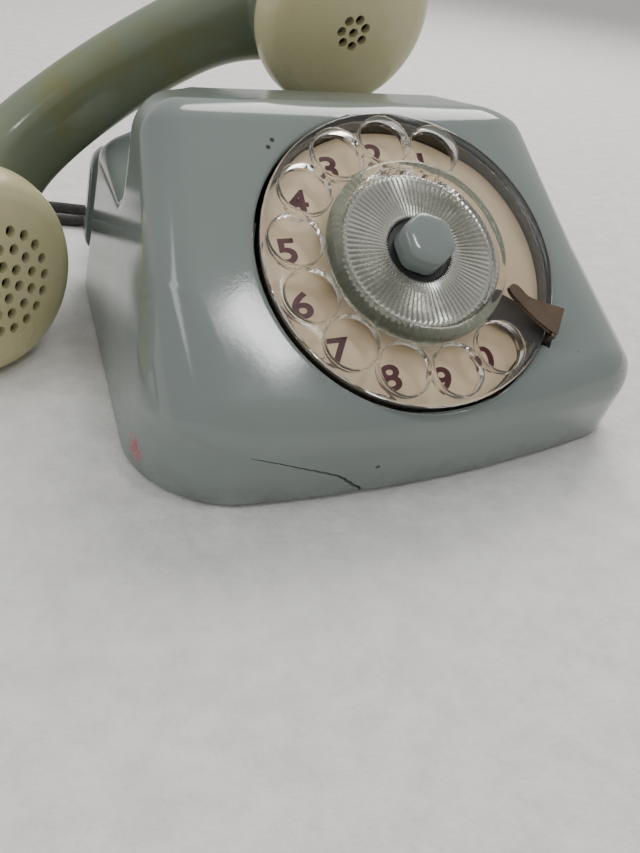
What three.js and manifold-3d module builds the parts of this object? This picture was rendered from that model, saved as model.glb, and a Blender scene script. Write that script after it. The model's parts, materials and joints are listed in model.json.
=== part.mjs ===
// Rotary desk telephone with its handset off the hook.
// Millimetres. X to the right, Y to the back, Z up; z = 0 is the table.
// While it is built, y = 0 is below the middle of the dial. The last lines move the
// whole telephone so that its origin is the middle of its footprint.
import * as THREE from 'three';
import { mergeVertices } from 'three/addons/utils/BufferGeometryUtils.js';
import Module from 'manifold-3d';

const wasm = await Module();
wasm.setup();

const { sin, cos, hypot, abs, min, max, PI } = Math;
const DEG = PI / 180;
const GAP = 0.3; // clearance between neighbouring pieces

// ---------------------------------------------------------------- driving dimensions

const FACE_TILT = 38 * DEG; // slope of the dial face above the table
const DIAL_HEIGHT = 52.5; // middle of the dial above the table
const APERTURE_RADIUS = 41; // hole in the face for the dial
const WALL = 2.5; // moulded wall of the housing
const HOUSING_BOTTOM = 1.5;

const SKIRT_FOOT_Y = -28.5; // front skirt at the table, on the middle line
const SKIRT_LEAN = 0.245; // how far the skirt leans out for each millimetre up
const SKIRT_BOW = 0.0014; // bow of the front: y = bow * x squared
const TOP_HEIGHT = 79.5; // top surface above the ridge
const TOP_RIDGE_Y = 36;
const TOP_SLOPE = 0.131;
const TOP_CROWN = 0;
const SIDE_FOOT = 75.5; // half the width at the table
const LEFT_LEAN = 0.205;
const RIGHT_LEAN = 0.255;
const REAR_Y = 104;
const EDGE_RADIUS = { crease: 9, ridge: 4, rear: 6, cradle: 3 };
// The side edges change their radius from the table corner up to the face.
const LEFT_EDGE = { low: 26, high: 9 };
const RIGHT_EDGE = { low: 15.5, high: 21 };
const EDGE_CHANGE = [20, 50];

const DECK_HEIGHT = 63.8; // cradle deck behind the top ridge
const DECK_FRONT_Y = 70;
const CRADLE_Y = 80; // the handset lies across the telephone here
const WELL_RADIUS = 31;
const WELL_DEPTH_HEIGHT = 49.8; // middle of the sloping floor of each cap well

const DIAL_RADIUS = 40;
const HOLE_COUNT = 10;
const HOLE_RADIUS = 6.9;
const HOLE_PITCH_RADIUS = 31.5;
const MAIN_TEETH = 55;
const MAIN_PITCH = 22;
const PULSE_TEETH = 12;
const PULSE_PITCH = 4.8;
const WHEEL_TEETH = 30;
const WHEEL_PITCH = 9;
const GOVERNOR_TEETH = 12;
const GOVERNOR_PITCH = 3.6;
const PULSE_LOBES = 3;
const HOLE_STEP = (360 / PULSE_LOBES) * (PULSE_TEETH / MAIN_TEETH); // degrees, 26.18
const FIRST_HOLE = 66; // degrees, finger hole of digit 1
const STOP_ANGLE = -34; // degrees, arm of the finger stop

const CAP_SPACING = 138.6; // between the middles of the handset's two cap joints
const CAP_RADIUS = 29.3;
const CAP_HEIGHT = 11;
const CAP_TILT = 21.7 * DEG; // the caps lean towards each other
const MOUTH_CENTRE = new THREE.Vector3(-105, 54.4, 29.3);
const EAR_CENTRE = new THREE.Vector3(12.4, 91.8, 92.8);
const CAPS_FACE = new THREE.Vector3(0.384, -0.907, -0.176);

const GRILLE_HOLE_RADIUS = 1.5;
const BUSH_DEPTH = -2; // the cord enters the handset this far behind the cap joints

// Half of the grip, from its middle to the back of a cup: along the handset, behind the
// cap joints, half the thickness, half the width.
const GRIP = [[0, 38, 8.6, 12], [22, 36.6, 8.8, 12], [40, 32.4, 9.4, 12.6], [54, 25.6, 11, 15],
  [64, 17, 13.4, 18.6], [69, 9, 14.5, 20]];

const PLUNGER_X = 52;
const PLUNGER_HOLE_RADIUS = 4;
const BOSSES = [[-64.5, -6], [64.5, -6]]; // the base screws go up into these
const FEET = [[-50, -4], [50, -4], [-54, 88], [54, 88]];
// The rear cover stands a little proud of the housing's sides.
const COVER = { front: REAR_Y + GAP, back: 112, bottom: 11, top: 47 };
const GONG_X = 25;
const GONG_Y = 74;
const RINGER_COIL_HEIGHT = 17;
const LEVER_PIVOT = { y: 95, z: 34 }; // the hook lever turns about X here

const CORD_RADIUS = 2.2;
const COIL_RADIUS = 24;
const CORD_EXITS = [-58, -38];
const EXIT_HEIGHT = 20;

// Both cords leave the rear cover, sink to the table and go to coils on the left.
const HANDSET_CORD_START = [[-58, 130.3, 20], [-58, 133, 19.8], [-58, 137.6, 18.2], [-58.6, 143.5, 13],
  [-61.5, 149, 7.4], [-66.5, 153, 3.8], [-73, 155.6, 2.3], [-81, 158, 2.3], [-92, 161, 2.3], [-104, 163, 2.3],
  [-118, 163.4, 2.3], [-132, 162.6, 2.3], [-144, 162.2, 2.3]];
const HANDSET_CORD_FINISH = [[-180.2, 126, 2.3], [-180.2, 112, 2.3], [-179.8, 96, 2.3], [-179.2, 80, 2.3],
  [-178.6, 66, 2.3], [-176.6, 55, 2.3], [-171.4, 47, 2.4], [-163.6, 43, 3.2], [-155.6, 42, 5.2],
  [-148.6, 42.9, 7.6], [-141.4, 44.8, 10.8]];
const LINE_CORD_START = [[-38, 130.3, 20], [-38, 133, 19.8], [-38.2, 138, 18.2], [-40, 146, 12.6],
  [-44.6, 153.4, 6.8], [-51.6, 159.6, 3.2], [-60, 163.8, 2.3], [-71, 168.4, 2.3], [-83, 173, 2.3], [-96, 176.4, 2.3],
  [-110, 177, 2.3], [-124, 174.6, 2.3], [-136, 171.9, 2.3], [-144, 171.3, 2.3]];
const LINE_CORD_FINISH = [[-163.8, 237.8, 2.3], [-159.8, 241, 2.6], [-156, 244.8, 3.5],
  [-152.6, 248.4, 4.9], [-149.6, 250.6, 5.8], [-146.5, 251, 6]];
const HANDSET_COIL = { x: -147, y: 129, half: 6.6, height: 10, tie: -45 };
const LINE_COIL = { x: -146, y: 207, half: 9, height: 14.4, tie: 15 };
const COIL_FLOOR = 1.2;
const PLUG = { front: -146, body: -131, back: -104, y: 251, z: 6 };

// ---------------------------------------------------------------- materials

function finish(colour, roughness, metalness = 0) {
  return new THREE.MeshStandardMaterial({ color: colour, roughness, metalness });
}

const shellGrey = finish(0x8f9c99, 0.25);
const handleGreen = finish(0x84907e, 0.3);
const capCream = finish(0xcbc39b, 0.35);
const plateCream = finish(0xdcc7a6, 0.45);
const clearPlastic = finish(0xd9d6cb, 0.1);
const stopMetal = finish(0x7c7068, 0.4, 0.8);
const steel = finish(0x9a9c9e, 0.4, 0.9);
const brass = finish(0xb08d4a, 0.35, 0.9);
const copper = finish(0x9c5a33, 0.5, 0.6);
const blackPlastic = finish(0x1d1d1e, 0.5);
const boardBrown = finish(0x8a6238, 0.6);
const rubber = finish(0x242322, 0.85);
const cordDark = finish(0x2b2926, 0.7);

// ---------------------------------------------------------------- solids

function toSolid(geometry) {
  let bare = geometry.clone();
  bare.deleteAttribute('normal');
  bare.deleteAttribute('uv');
  bare = mergeVertices(bare, 1e-4);
  return new wasm.Manifold(new wasm.Mesh({
    numProp: 3,
    vertProperties: new Float32Array(bare.attributes.position.array),
    triVerts: new Uint32Array(bare.index.array),
  }));
}

function toGeometry(solid) {
  const data = solid.getMesh();
  const geometry = new THREE.BufferGeometry();
  geometry.setAttribute('position', new THREE.BufferAttribute(data.vertProperties, 3));
  geometry.setIndex(new THREE.BufferAttribute(data.triVerts, 1));
  return geometry;
}

function join(...geometries) {
  return toGeometry(geometries.map(toSolid).reduce((sum, next) => sum.add(next)));
}

function cut(body, ...tools) {
  return toGeometry(tools.map(toSolid).reduce((rest, tool) => rest.subtract(tool), toSolid(body)));
}

function box(x0, x1, y0, y1, z0, z1) {
  return new THREE.BoxGeometry(x1 - x0, y1 - y0, z1 - z0)
    .translate((x0 + x1) / 2, (y0 + y1) / 2, (z0 + z1) / 2);
}

function rod(radius, z0, z1, x = 0, y = 0, sides = 24, topRadius = radius) {
  return new THREE.CylinderGeometry(topRadius, radius, z1 - z0, sides)
    .rotateX(PI / 2).translate(x, y, (z0 + z1) / 2);
}

// A turned piece about Z from a profile of [radius, z] pairs.
function turned(profile, sides = 32) {
  const points = profile.map(([radius, z]) => new THREE.Vector2(radius, z));
  return new THREE.LatheGeometry(points, sides).rotateX(PI / 2);
}

function ring(inner, outer, z0, z1, sides = 32) {
  return turned([[inner, z0], [outer, z0], [outer, z1], [inner, z1], [inner, z0]], sides);
}

function slab(points, z0, z1) {
  const shape = new THREE.Shape(points.map(([x, y]) => new THREE.Vector2(x, y)));
  return new THREE.ExtrudeGeometry(shape, { depth: z1 - z0, bevelEnabled: false }).translate(0, 0, z0);
}

function roundedRectangle(x0, x1, y0, y1, radius) {
  const shape = new THREE.Shape();
  shape.absarc(x1 - radius, y1 - radius, radius, 0, PI / 2);
  shape.absarc(x0 + radius, y1 - radius, radius, PI / 2, PI);
  shape.absarc(x0 + radius, y0 + radius, radius, PI, 1.5 * PI);
  shape.absarc(x1 - radius, y0 + radius, radius, 1.5 * PI, 2 * PI);
  return shape;
}

function polar(radius, degrees) {
  return [radius * cos(degrees * DEG), radius * sin(degrees * DEG)];
}

// Rings of points, all the same length, joined into one closed skin. The last ring
// joins the first when wrap is true; otherwise both ends are closed by a fan.
function skin(rings, wrap = false) {
  const count = rings[0].length;
  const positions = rings.flat().flatMap((point) => [point.x, point.y, point.z]);
  const index = [];
  const steps = wrap ? rings.length : rings.length - 1;
  for (let row = 0; row < steps; row += 1) {
    const next = (row + 1) % rings.length;
    for (let k = 0; k < count; k += 1) {
      const a = row * count + k;
      const b = row * count + ((k + 1) % count);
      const c = next * count + k;
      const d = next * count + ((k + 1) % count);
      index.push(a, b, d, a, d, c);
    }
  }
  if (!wrap) {
    for (const [row, flip] of [[0, true], [rings.length - 1, false]]) {
      const middle = rings[row].reduce((sum, point) => sum.add(point), new THREE.Vector3())
        .divideScalar(count);
      positions.push(middle.x, middle.y, middle.z);
      const hub = positions.length / 3 - 1;
      for (let k = 0; k < count; k += 1) {
        const a = row * count + k;
        const b = row * count + ((k + 1) % count);
        index.push(...(flip ? [hub, b, a] : [hub, a, b]));
      }
    }
  }
  const geometry = new THREE.BufferGeometry();
  geometry.setAttribute('position', new THREE.Float32BufferAttribute(positions, 3));
  geometry.setIndex(index);
  return geometry;
}

function gear(teeth, pitchRadius, z0, z1, bore) {
  const module = (2 * pitchRadius) / teeth;
  const step = 360 / teeth;
  const outline = [];
  for (let tooth = 0; tooth < teeth; tooth += 1) {
    const middle = tooth * step;
    outline.push(
      polar(pitchRadius - 1.15 * module, middle - 0.29 * step),
      polar(pitchRadius + 0.75 * module, middle - 0.09 * step),
      polar(pitchRadius + 0.75 * module, middle + 0.09 * step),
      polar(pitchRadius - 1.15 * module, middle + 0.29 * step),
    );
  }
  const blank = slab(outline, z0, z1);
  return bore ? cut(blank, rod(bore, z0 - 1, z1 + 1)) : blank;
}

const telephone = new THREE.Group();

function add(parent, name, geometry, material) {
  const mesh = new THREE.Mesh(geometry, material);
  mesh.name = name;
  parent.add(mesh);
  return mesh;
}

// ---------------------------------------------------------------- housing shape

// Each function below is negative inside, and close to a distance in millimetres.
function roundedBoth(a, b, radius) {
  return min(-radius, max(a, b)) + hypot(max(radius + a, 0), max(radius + b, 0));
}

function roundedEither(a, b, radius) {
  return max(radius, min(a, b)) - hypot(max(radius - a, 0), max(radius - b, 0));
}

function sideWidth(hand, z) {
  return SIDE_FOOT - (hand > 0 ? RIGHT_LEAN : LEFT_LEAN) * z;
}

function sideRadius(x, z) {
  const { low, high } = x > 0 ? RIGHT_EDGE : LEFT_EDGE;
  const [start, end] = EDGE_CHANGE;
  return high + (low - high) * min(max((end - z) / (end - start), 0), 1);
}

function capWell(x, y, z) {
  const dx = abs(x) - (CAP_SPACING / 2 - CAP_HEIGHT * sin(CAP_TILT));
  const dz = z - WELL_DEPTH_HEIGHT;
  const height = dx * sin(CAP_TILT) + dz * cos(CAP_TILT);
  const across = dx * cos(CAP_TILT) - dz * sin(CAP_TILT);
  return roundedEither(WELL_RADIUS - hypot(across, y - CRADLE_Y), height, 5);
}

function housingShape(x, y, z) {
  const face = -sin(FACE_TILT) * y + cos(FACE_TILT) * (z - DIAL_HEIGHT);
  const skirt = SKIRT_FOOT_Y - SKIRT_LEAN * z + SKIRT_BOW * x * x - y;
  const top = z - (TOP_HEIGHT - TOP_SLOPE * (y - TOP_RIDGE_Y) - TOP_CROWN * x * x);
  const side = abs(x) - sideWidth(x, z);
  const rear = y - REAR_Y;
  const deck = roundedEither(y - DECK_FRONT_Y, z - DECK_HEIGHT, 4);
  let shape = roundedBoth(face, skirt, EDGE_RADIUS.crease);
  shape = roundedBoth(shape, top, EDGE_RADIUS.ridge);
  shape = roundedBoth(shape, side, sideRadius(x, z));
  shape = roundedBoth(shape, rear, EDGE_RADIUS.rear);
  shape = roundedBoth(shape, deck, EDGE_RADIUS.cradle);
  return roundedBoth(shape, capWell(x, y, z), EDGE_RADIUS.cradle);
}

// Directions of the dial: right along the face, up along the face, and out of it.
const faceRight = new THREE.Vector3(1, 0, 0);
const faceUp = new THREE.Vector3(0, cos(FACE_TILT), sin(FACE_TILT));
const faceOut = new THREE.Vector3(0, -sin(FACE_TILT), cos(FACE_TILT));
const dialCentre = new THREE.Vector3(0, 0, DIAL_HEIGHT);
const shellHeart = dialCentre.clone().addScaledVector(faceOut, -40);

// One line of the housing's skin, from the dial aperture out and down to the table edge.
// It is found along rays from the heart of the shell, and evened out by length.
function shellLine(turn, inset, count) {
  const along = faceRight.clone().multiplyScalar(cos(turn)).addScaledVector(faceUp, sin(turn));
  const start = Math.atan2(APERTURE_RADIUS, 40 - inset);
  const fine = [];
  for (let angle = start; angle < PI; angle += 0.6 * DEG) {
    const ray = faceOut.clone().multiplyScalar(cos(angle)).addScaledVector(along, sin(angle));
    let near = 5;
    let far = 200;
    for (let halving = 0; halving < 30; halving += 1) {
      const middle = (near + far) / 2;
      const point = shellHeart.clone().addScaledVector(ray, middle);
      if (housingShape(point.x, point.y, point.z) < -inset) near = middle;
      else far = middle;
    }
    const point = shellHeart.clone().addScaledVector(ray, near);
    if (point.z <= HOUSING_BOTTOM) {
      const above = fine[fine.length - 1];
      const share = (above.z - HOUSING_BOTTOM) / (above.z - point.z);
      fine.push(above.clone().lerp(point, share));
      break;
    }
    fine.push(point);
  }
  const lengths = [0];
  for (let k = 1; k < fine.length; k += 1) {
    lengths.push(lengths[k - 1] + fine[k].distanceTo(fine[k - 1]));
  }
  const total = lengths[lengths.length - 1];
  const line = [];
  for (let k = 0, piece = 1; k <= count; k += 1) {
    const wanted = (total * k) / count;
    while (piece < lengths.length - 1 && lengths[piece] < wanted) piece += 1;
    const share = (wanted - lengths[piece - 1]) / (lengths[piece] - lengths[piece - 1]);
    line.push(fine[piece - 1].clone().lerp(fine[piece], share));
  }
  return line;
}

function housingShell(turns, outerRows, innerRows) {
  const outer = [];
  const inner = [];
  for (let k = 0; k < turns; k += 1) {
    outer.push(shellLine((2 * PI * k) / turns, 0, outerRows));
    inner.push(shellLine((2 * PI * k) / turns, WALL, innerRows));
  }
  const rings = [];
  for (let row = 0; row <= outerRows; row += 1) rings.push(outer.map((line) => line[row]));
  for (let row = innerRows; row >= 0; row -= 1) rings.push(inner.map((line) => line[row]));
  return skin(rings.reverse(), true);
}

function housing() {
  const bosses = BOSSES.map(([x, y]) => cut(
    rod(4.5, 4.7, 20, x, y, 16), rod(1.8, 4, 16, x, y, 12),
  ));
  const holes = [-1, 1].map((sign) => rod(PLUNGER_HOLE_RADIUS, 30, 90, sign * PLUNGER_X, CRADLE_Y, 20));
  const rearOpening = box(-56, 56, 90, 120, 8, 44);
  const notch = stopNotch(38, 43.4).rotateX(FACE_TILT).translate(0, 0, DIAL_HEIGHT);
  const shell = join(housingShell(48, 16, 8), ...bosses);
  add(telephone, 'housing', cut(shell, ...holes, rearOpening, notch), shellGrey);
}

function rearCover() {
  const { bottom, top, front, back } = COVER;
  const outline = (grow) => {
    const shape = new THREE.Shape();
    const low = bottom - grow;
    const high = top + grow;
    const radius = 7 + grow;
    const right = (z) => sideWidth(1, z) + 1 + grow;
    const left = (z) => -sideWidth(-1, z) - 1 - grow;
    shape.moveTo(left(low) + radius, low);
    shape.lineTo(right(low) - radius, low);
    shape.quadraticCurveTo(right(low), low, right(low + radius), low + radius);
    shape.lineTo(right(high - radius), high - radius);
    shape.quadraticCurveTo(right(high), high, right(high) - radius, high);
    shape.lineTo(left(high) + radius, high);
    shape.quadraticCurveTo(left(high), high, left(high - radius), high - radius);
    shape.lineTo(left(low + radius), low + radius);
    shape.quadraticCurveTo(left(low), low, left(low) + radius, low);
    return shape;
  };
  const plate = (grow, y0, y1) => new THREE.ExtrudeGeometry(
    outline(grow), { depth: y1 - y0, bevelEnabled: false, curveSegments: 6 },
  ).rotateX(PI / 2).translate(0, y1, 0);
  const exits = CORD_EXITS.map((x) => rod(3.1, -20, 20, 0, 0, 16).rotateX(PI / 2)
    .translate(x, back, EXIT_HEIGHT));
  add(telephone, 'rear_cover', cut(plate(0, front, back), plate(-WALL, front - 1, back - WALL), ...exits),
    shellGrey);
}

// ---------------------------------------------------------------- base

function base() {
  const outline = roundedRectangle(-69, 69, -18, 100, 20);
  const plate = new THREE.ExtrudeGeometry(outline, { depth: 2, bevelEnabled: false, curveSegments: 6 })
    .translate(0, 0, 2.3);
  const screwHoles = BOSSES.map(([x, y]) => rod(1.9, 0, 8, x, y, 12));
  const posts = [-1, 1].map((sign) => rod(2, 3, 26, sign * GONG_X, GONG_Y, 12));
  add(telephone, 'base_plate', cut(join(plate, ...posts), ...screwHoles), steel);
  FEET.forEach(([x, y], k) => {
    const profile = [[0, 0], [6, 0], [7, 0.8], [7, 2], [0, 2]];
    add(telephone, `foot_${k + 1}`, turned(profile, 20).translate(x, y, 0), rubber);
  });
  BOSSES.forEach(([x, y], k) => {
    const profile = [[0, 0.8], [3, 0.8], [3, 2], [1.5, 2], [1.5, 14], [0, 15]];
    add(telephone, `base_screw_${k + 1}`, turned(profile, 12).translate(x, y, 0), steel);
  });
}

// ---------------------------------------------------------------- ringer

function ringer() {
  const bell = [[2.3, 20.6], [8, 20.6], [15.2, 17.6], [18.6, 12.6], [19.6, 8], [21, 8],
    [20, 13], [16, 19], [8, 22], [2.3, 22], [2.3, 20.6]];
  ['left', 'right'].forEach((hand, k) => {
    const x = (k ? 1 : -1) * GONG_X;
    add(telephone, `gong_${hand}`, turned(bell, 18).translate(x, GONG_Y, 0), brass);
    const spool = [[2.8, 0], [7, 0], [7, 1.5], [5.8, 1.5], [5.8, 18.5], [7, 18.5], [7, 20], [2.8, 20], [2.8, 0]];
    add(telephone, `ringer_coil_${hand}`, turned(spool, 14).rotateX(-PI / 2)
      .translate((k ? 1 : -1) * 8.5, 28, RINGER_COIL_HEIGHT), copper);
  });
  const core = (x) => rod(2.5, 0, 26, 0, 0, 12).rotateX(-PI / 2).translate(x, 25, RINGER_COIL_HEIGHT);
  const yoke = join(box(-14, 14, 51, 54, 4.6, 26), core(-8.5), core(8.5), box(-14, 14, 51, 62, 4.6, 6.6));
  add(telephone, 'ringer_yoke', yoke, steel);
  const ball = new THREE.SphereGeometry(2.6, 14, 10).translate(0, GONG_Y, 14);
  const arm = box(-0.8, 0.8, 57.4, GONG_Y, 13.2, 14.8);
  const armature = box(-10, 10, 55.6, 58, 10, 26);
  add(telephone, 'clapper', join(armature, arm, ball), steel);
}

// ---------------------------------------------------------------- circuit and hook switch

function circuit() {
  const board = box(-46, 46, -14, 22, 9, 10.6);
  const pegs = [[-42, -10], [42, -10], [-42, 18], [42, 18]].map(([x, y]) => rod(2, 4.6, 9.5, x, y, 10));
  add(telephone, 'circuit_board', join(board, ...pegs), boardBrown);
  add(telephone, 'capacitor', box(-40, -12, -8, 4, 10.9, 19), blackPlastic);
  const core = box(14, 38, -6, 12, 10.9, 13.5);
  const winding = box(18, 34, -4, 10, 13, 20);
  add(telephone, 'induction_coil', join(core, winding), copper);
  const strip = box(-66, -50, 40, 76, 4.6, 13);
  const slots = [46, 52, 58, 64, 70].map((y) => rod(1.6, 9, 14, -58, y, 10));
  add(telephone, 'terminal_block', cut(strip, ...slots), blackPlastic);
}

function hookSwitch() {
  const barHeight = 38;
  const bar = box(-PLUNGER_X - 4, PLUNGER_X + 4, CRADLE_Y - 3, CRADLE_Y + 3, barHeight - 2, barHeight);
  add(telephone, 'hook_bar', bar, steel);
  ['left', 'right'].forEach((hand, k) => {
    const x = (k ? 1 : -1) * PLUNGER_X;
    const profile = [[0, barHeight + GAP], [3.4, barHeight + GAP], [3.4, 57.5], [2.6, 59], [0, 59.4]];
    add(telephone, `hook_plunger_${hand}`, turned(profile, 16).translate(x, CRADLE_Y, 0), blackPlastic);
  });
  const { y, z } = LEVER_PIVOT;
  const bracket = join(
    box(-10, 10, 98, 100, 4.6, 38),
    box(-10, 10, 91, 100, 4.6, 6.6),
    box(7, 9, y - 3, 99, 30, 38),
    box(-9, -7, y - 3, 99, 30, 38),
  );
  add(telephone, 'hook_bracket', bracket, steel);
  const pin = rod(1.5, -6.5, 6.5, 0, 0, 12).rotateY(PI / 2).translate(0, y, z);
  add(telephone, 'hook_lever', join(box(-3, 3, 74, y, z - 0.7, z + 0.8), pin), steel);
  const leaves = [0, 1, 2].map((k) => box(-6 + 5 * k, -4 + 5 * k, 64, 85, 24 + 0.8 * k, 24.4 + 0.8 * k));
  const stack = box(-4.5, 4.5, 83, 89, 4.6, 26.4);
  add(telephone, 'hook_contacts', join(stack, ...leaves), brass);
}

// ---------------------------------------------------------------- dial

const dial = new THREE.Group();
dial.position.copy(dialCentre);
dial.rotation.x = FACE_TILT;
telephone.add(dial);

const holeAngles = Array.from({ length: HOLE_COUNT }, (_, k) => FIRST_HOLE + k * HOLE_STEP);
// Each follower stands where a gap of its driver faces it, with a tooth turned into that gap.
const PULSE_BEARING = 22.5 * (360 / MAIN_TEETH);
const PULSE_SPOT = polar(MAIN_PITCH + PULSE_PITCH, PULSE_BEARING);
const GOVERNOR_BEARING = 21.5 * (360 / WHEEL_TEETH);
const GOVERNOR_REACH = polar(WHEEL_PITCH + GOVERNOR_PITCH, GOVERNOR_BEARING);
const GOVERNOR_SPOT = [PULSE_SPOT[0] + GOVERNOR_REACH[0], PULSE_SPOT[1] + GOVERNOR_REACH[1]];

function fingerWheel() {
  const disc = turned([[8.3, 0.6], [DIAL_RADIUS - 0.6, 0.6], [DIAL_RADIUS, 1.1], [DIAL_RADIUS, 2],
    [DIAL_RADIUS - 0.5, 2.5], [24.2, 2.5], [23.6, 6.2], [21.2, 6.2], [20.9, 2.5], [8.3, 2.5], [8.3, 0.6]], 36);
  const holes = holeAngles.map((angle) => {
    const [x, y] = polar(HOLE_PITCH_RADIUS, angle);
    return rod(HOLE_RADIUS, -2, 5, x, y, 12);
  });
  add(dial, 'finger_wheel', cut(disc, ...holes), clearPlastic);
  add(dial, 'fluted_disc', turned([[3.4, 2.8], [20.5, 2.8], [20.5, 4], [8, 4.6], [3.4, 4.6], [3.4, 2.8]], 32),
    shellGrey);
  const hexagon = Array.from({ length: 6 }, (_, k) => polar(7.6, 60 * k - 84));
  const crown = Array.from({ length: 6 }, (_, k) => polar(6.8, 60 * k - 84));
  const rings = [[hexagon, 4.9], [hexagon, 9], [crown, 10.2]].map(([outline, z]) => (
    outline.map(([x, y]) => new THREE.Vector3(x, y, z))));
  add(dial, 'hub_knob', skin(rings), shellGrey);
  add(dial, 'dial_shaft', turned([[0, 4.4], [3, 4.4], [3, -17.5], [0, -17.5]].reverse(), 20), steel);
  add(dial, 'main_gear', gear(MAIN_TEETH, MAIN_PITCH, -14.4, -12.8, 3.3), brass);
}

function dialFixed() {
  add(dial, 'number_plate', ring(5.3, 38.1, -5.6, -4.4, 36), plateCream);
  const cup = turned([[5.3, -7.4], [39.6, -7.4], [39.6, -1.2], [38.8, -1.2], [38.8, -6], [5.3, -6],
    [5.3, -7.4]], 36);
  add(dial, 'dial_chassis', cut(cup, rod(1.6, -9, -5, ...PULSE_SPOT, 10), rod(1.6, -9, -5, ...GOVERNOR_SPOT, 10),
    stopNotch(36, 41)), blackPlastic);
  add(dial, 'shaft_bearing', ring(3.3, 5, -8.6, -3.9, 20), brass);
  add(dial, 'return_spring', ring(5.6, 11, -12.4, -8.8, 24), steel);
}

// Where the finger stop comes up past the rim.
function stopNotch(inner, outer) {
  return box(inner, outer, -5, 5, -5, 3).rotateZ(STOP_ANGLE * DEG);
}

function fingerStop() {
  const arm = slab([[6, -4.4], [41.8, -4.4], [41.8, 4.4], [6, 4.4]], -3.6, -2.4);
  const upright = slab([[40.4, -4.4], [41.8, -4.4], [41.8, 4.4], [40.4, 4.4]], -3.6, 4.6);
  const blade = slab([[26, 2.2], [31, -0.8], [36.2, -2.9], [41.8, -4.4], [41.8, 4.6], [36, 3.2], [31.2, 2.6],
    [28, 3.8], [26.4, 3.7]], 3.4, 4.6);
  const hub = rod(7.5, -3.6, -2.4, 0, 0, 20);
  const stop = cut(join(arm, upright, blade, hub), rod(3.6, -5, 0, 0, 0, 16));
  add(dial, 'finger_stop', stop.rotateZ(STOP_ANGLE * DEG), stopMetal);
}

function mechanism() {
  const [px, py] = PULSE_SPOT;
  const [gx, gy] = GOVERNOR_SPOT;
  const spindle = rod(1.3, -33, -6.6, 0, 0, 10);
  const pinion = gear(PULSE_TEETH, PULSE_PITCH, -15, -12.4).rotateZ((PULSE_BEARING + 180) * DEG);
  add(dial, 'pulse_pinion', join(pinion, spindle).translate(px, py, 0), steel);
  add(dial, 'governor_wheel', gear(WHEEL_TEETH, WHEEL_PITCH, -19.6, -18.2, 1.6).translate(px, py, 0), brass);
  const lobes = Array.from({ length: 30 }, (_, k) => polar(4.6 + 0.9 * cos(12 * k * PULSE_LOBES * DEG), 12 * k));
  const cam = cut(slab(lobes, -24, -22.4), rod(1.6, -26, -20, 0, 0, 12));
  add(dial, 'pulse_cam', cam.translate(px, py, 0), blackPlastic);
  const drive = gear(GOVERNOR_TEETH, GOVERNOR_PITCH, -20, -17.8).rotateZ((GOVERNOR_BEARING + 180) * DEG);
  const weights = join(rod(1.3, -33, -6.6, 0, 0, 10), drive, rod(6, -30, -26, 0, 0, 16));
  add(dial, 'governor', weights.translate(gx, gy, 0), brass);
  add(dial, 'governor_cup', cut(rod(7.6, -31.2, -25.2, gx, gy, 20), rod(6.4, -30.6, -20, gx, gy, 20),
    rod(1.6, -34, -20, gx, gy, 12)), steel);
  const bridge = join(box(-38, -12, -5, 29, -33.3, -31.8), box(-16, -12, 24, 29, -33.3, -7.7),
    box(-38, -34, 0, 5, -33.3, -7.7));
  add(dial, 'mechanism_bridge', cut(bridge, rod(1.6, -36, -30, px, py, 12), rod(1.6, -36, -30, gx, gy, 12)),
    steel);
  const contacts = join(box(2, 10, 24, 32, -24, -7.7), box(-11.4, 4, 25.4, 26, -23.8, -22.6),
    box(-11.4, 4, 28, 28.6, -23.8, -22.6));
  add(dial, 'pulse_contacts', contacts, brass);
}

// ---------------------------------------------------------------- handset

const handset = new THREE.Group();
const chord = EAR_CENTRE.clone().sub(MOUTH_CENTRE).normalize();
const facing = CAPS_FACE.clone().addScaledVector(chord, -CAPS_FACE.dot(chord)).normalize();
const upward = facing.clone().cross(chord);
handset.quaternion.setFromRotationMatrix(new THREE.Matrix4().makeBasis(chord, upward, facing));
handset.position.copy(EAR_CENTRE).add(MOUTH_CENTRE).multiplyScalar(0.5);
telephone.add(handset);

function grip() {
  const stations = [...GRIP.slice(1).reverse().map(([x, ...rest]) => [-x, ...rest]), ...GRIP];
  const line = new THREE.CatmullRomCurve3(stations.map(([x, behind]) => new THREE.Vector3(x, 0, -behind)));
  const girth = new THREE.CatmullRomCurve3(stations.map(([, , thick, wide]) => new THREE.Vector3(thick, wide, 0)));
  const rings = [];
  const steps = 14;
  const sides = 14;
  for (let k = 0; k <= steps; k += 1) {
    const middle = line.getPoint(k / steps);
    const tangent = line.getTangent(k / steps);
    const back = new THREE.Vector3(tangent.z, 0, -tangent.x);
    const { x: thick, y: wide } = girth.getPoint(k / steps);
    const section = [];
    for (let turn = 0; turn < sides; turn += 1) {
      const angle = (turn / sides) * 2 * PI;
      const across = Math.sign(cos(angle)) * abs(cos(angle)) ** 0.7;
      const deep = Math.sign(sin(angle)) * abs(sin(angle)) ** (sin(angle) > 0 ? 0.95 : 0.6);
      section.push(middle.clone().addScaledVector(back, deep * thick)
        .add(new THREE.Vector3(0, across * wide, 0)));
    }
    rings.push(section.reverse());
  }
  return skin(rings);
}

function atCap(geometry, sign) {
  return geometry.rotateY(-sign * CAP_TILT).translate((sign * CAP_SPACING) / 2, 0, 0);
}

function grilleHoles(rings) {
  const holes = [rod(GRILLE_HOLE_RADIUS, 2, 14, 0, 0, 5)];
  rings.forEach(([count, radius]) => {
    for (let k = 0; k < count; k += 1) {
      holes.push(rod(GRILLE_HOLE_RADIUS, 2, 14, ...polar(radius, (360 * k) / count), 5));
    }
  });
  return holes;
}

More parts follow.
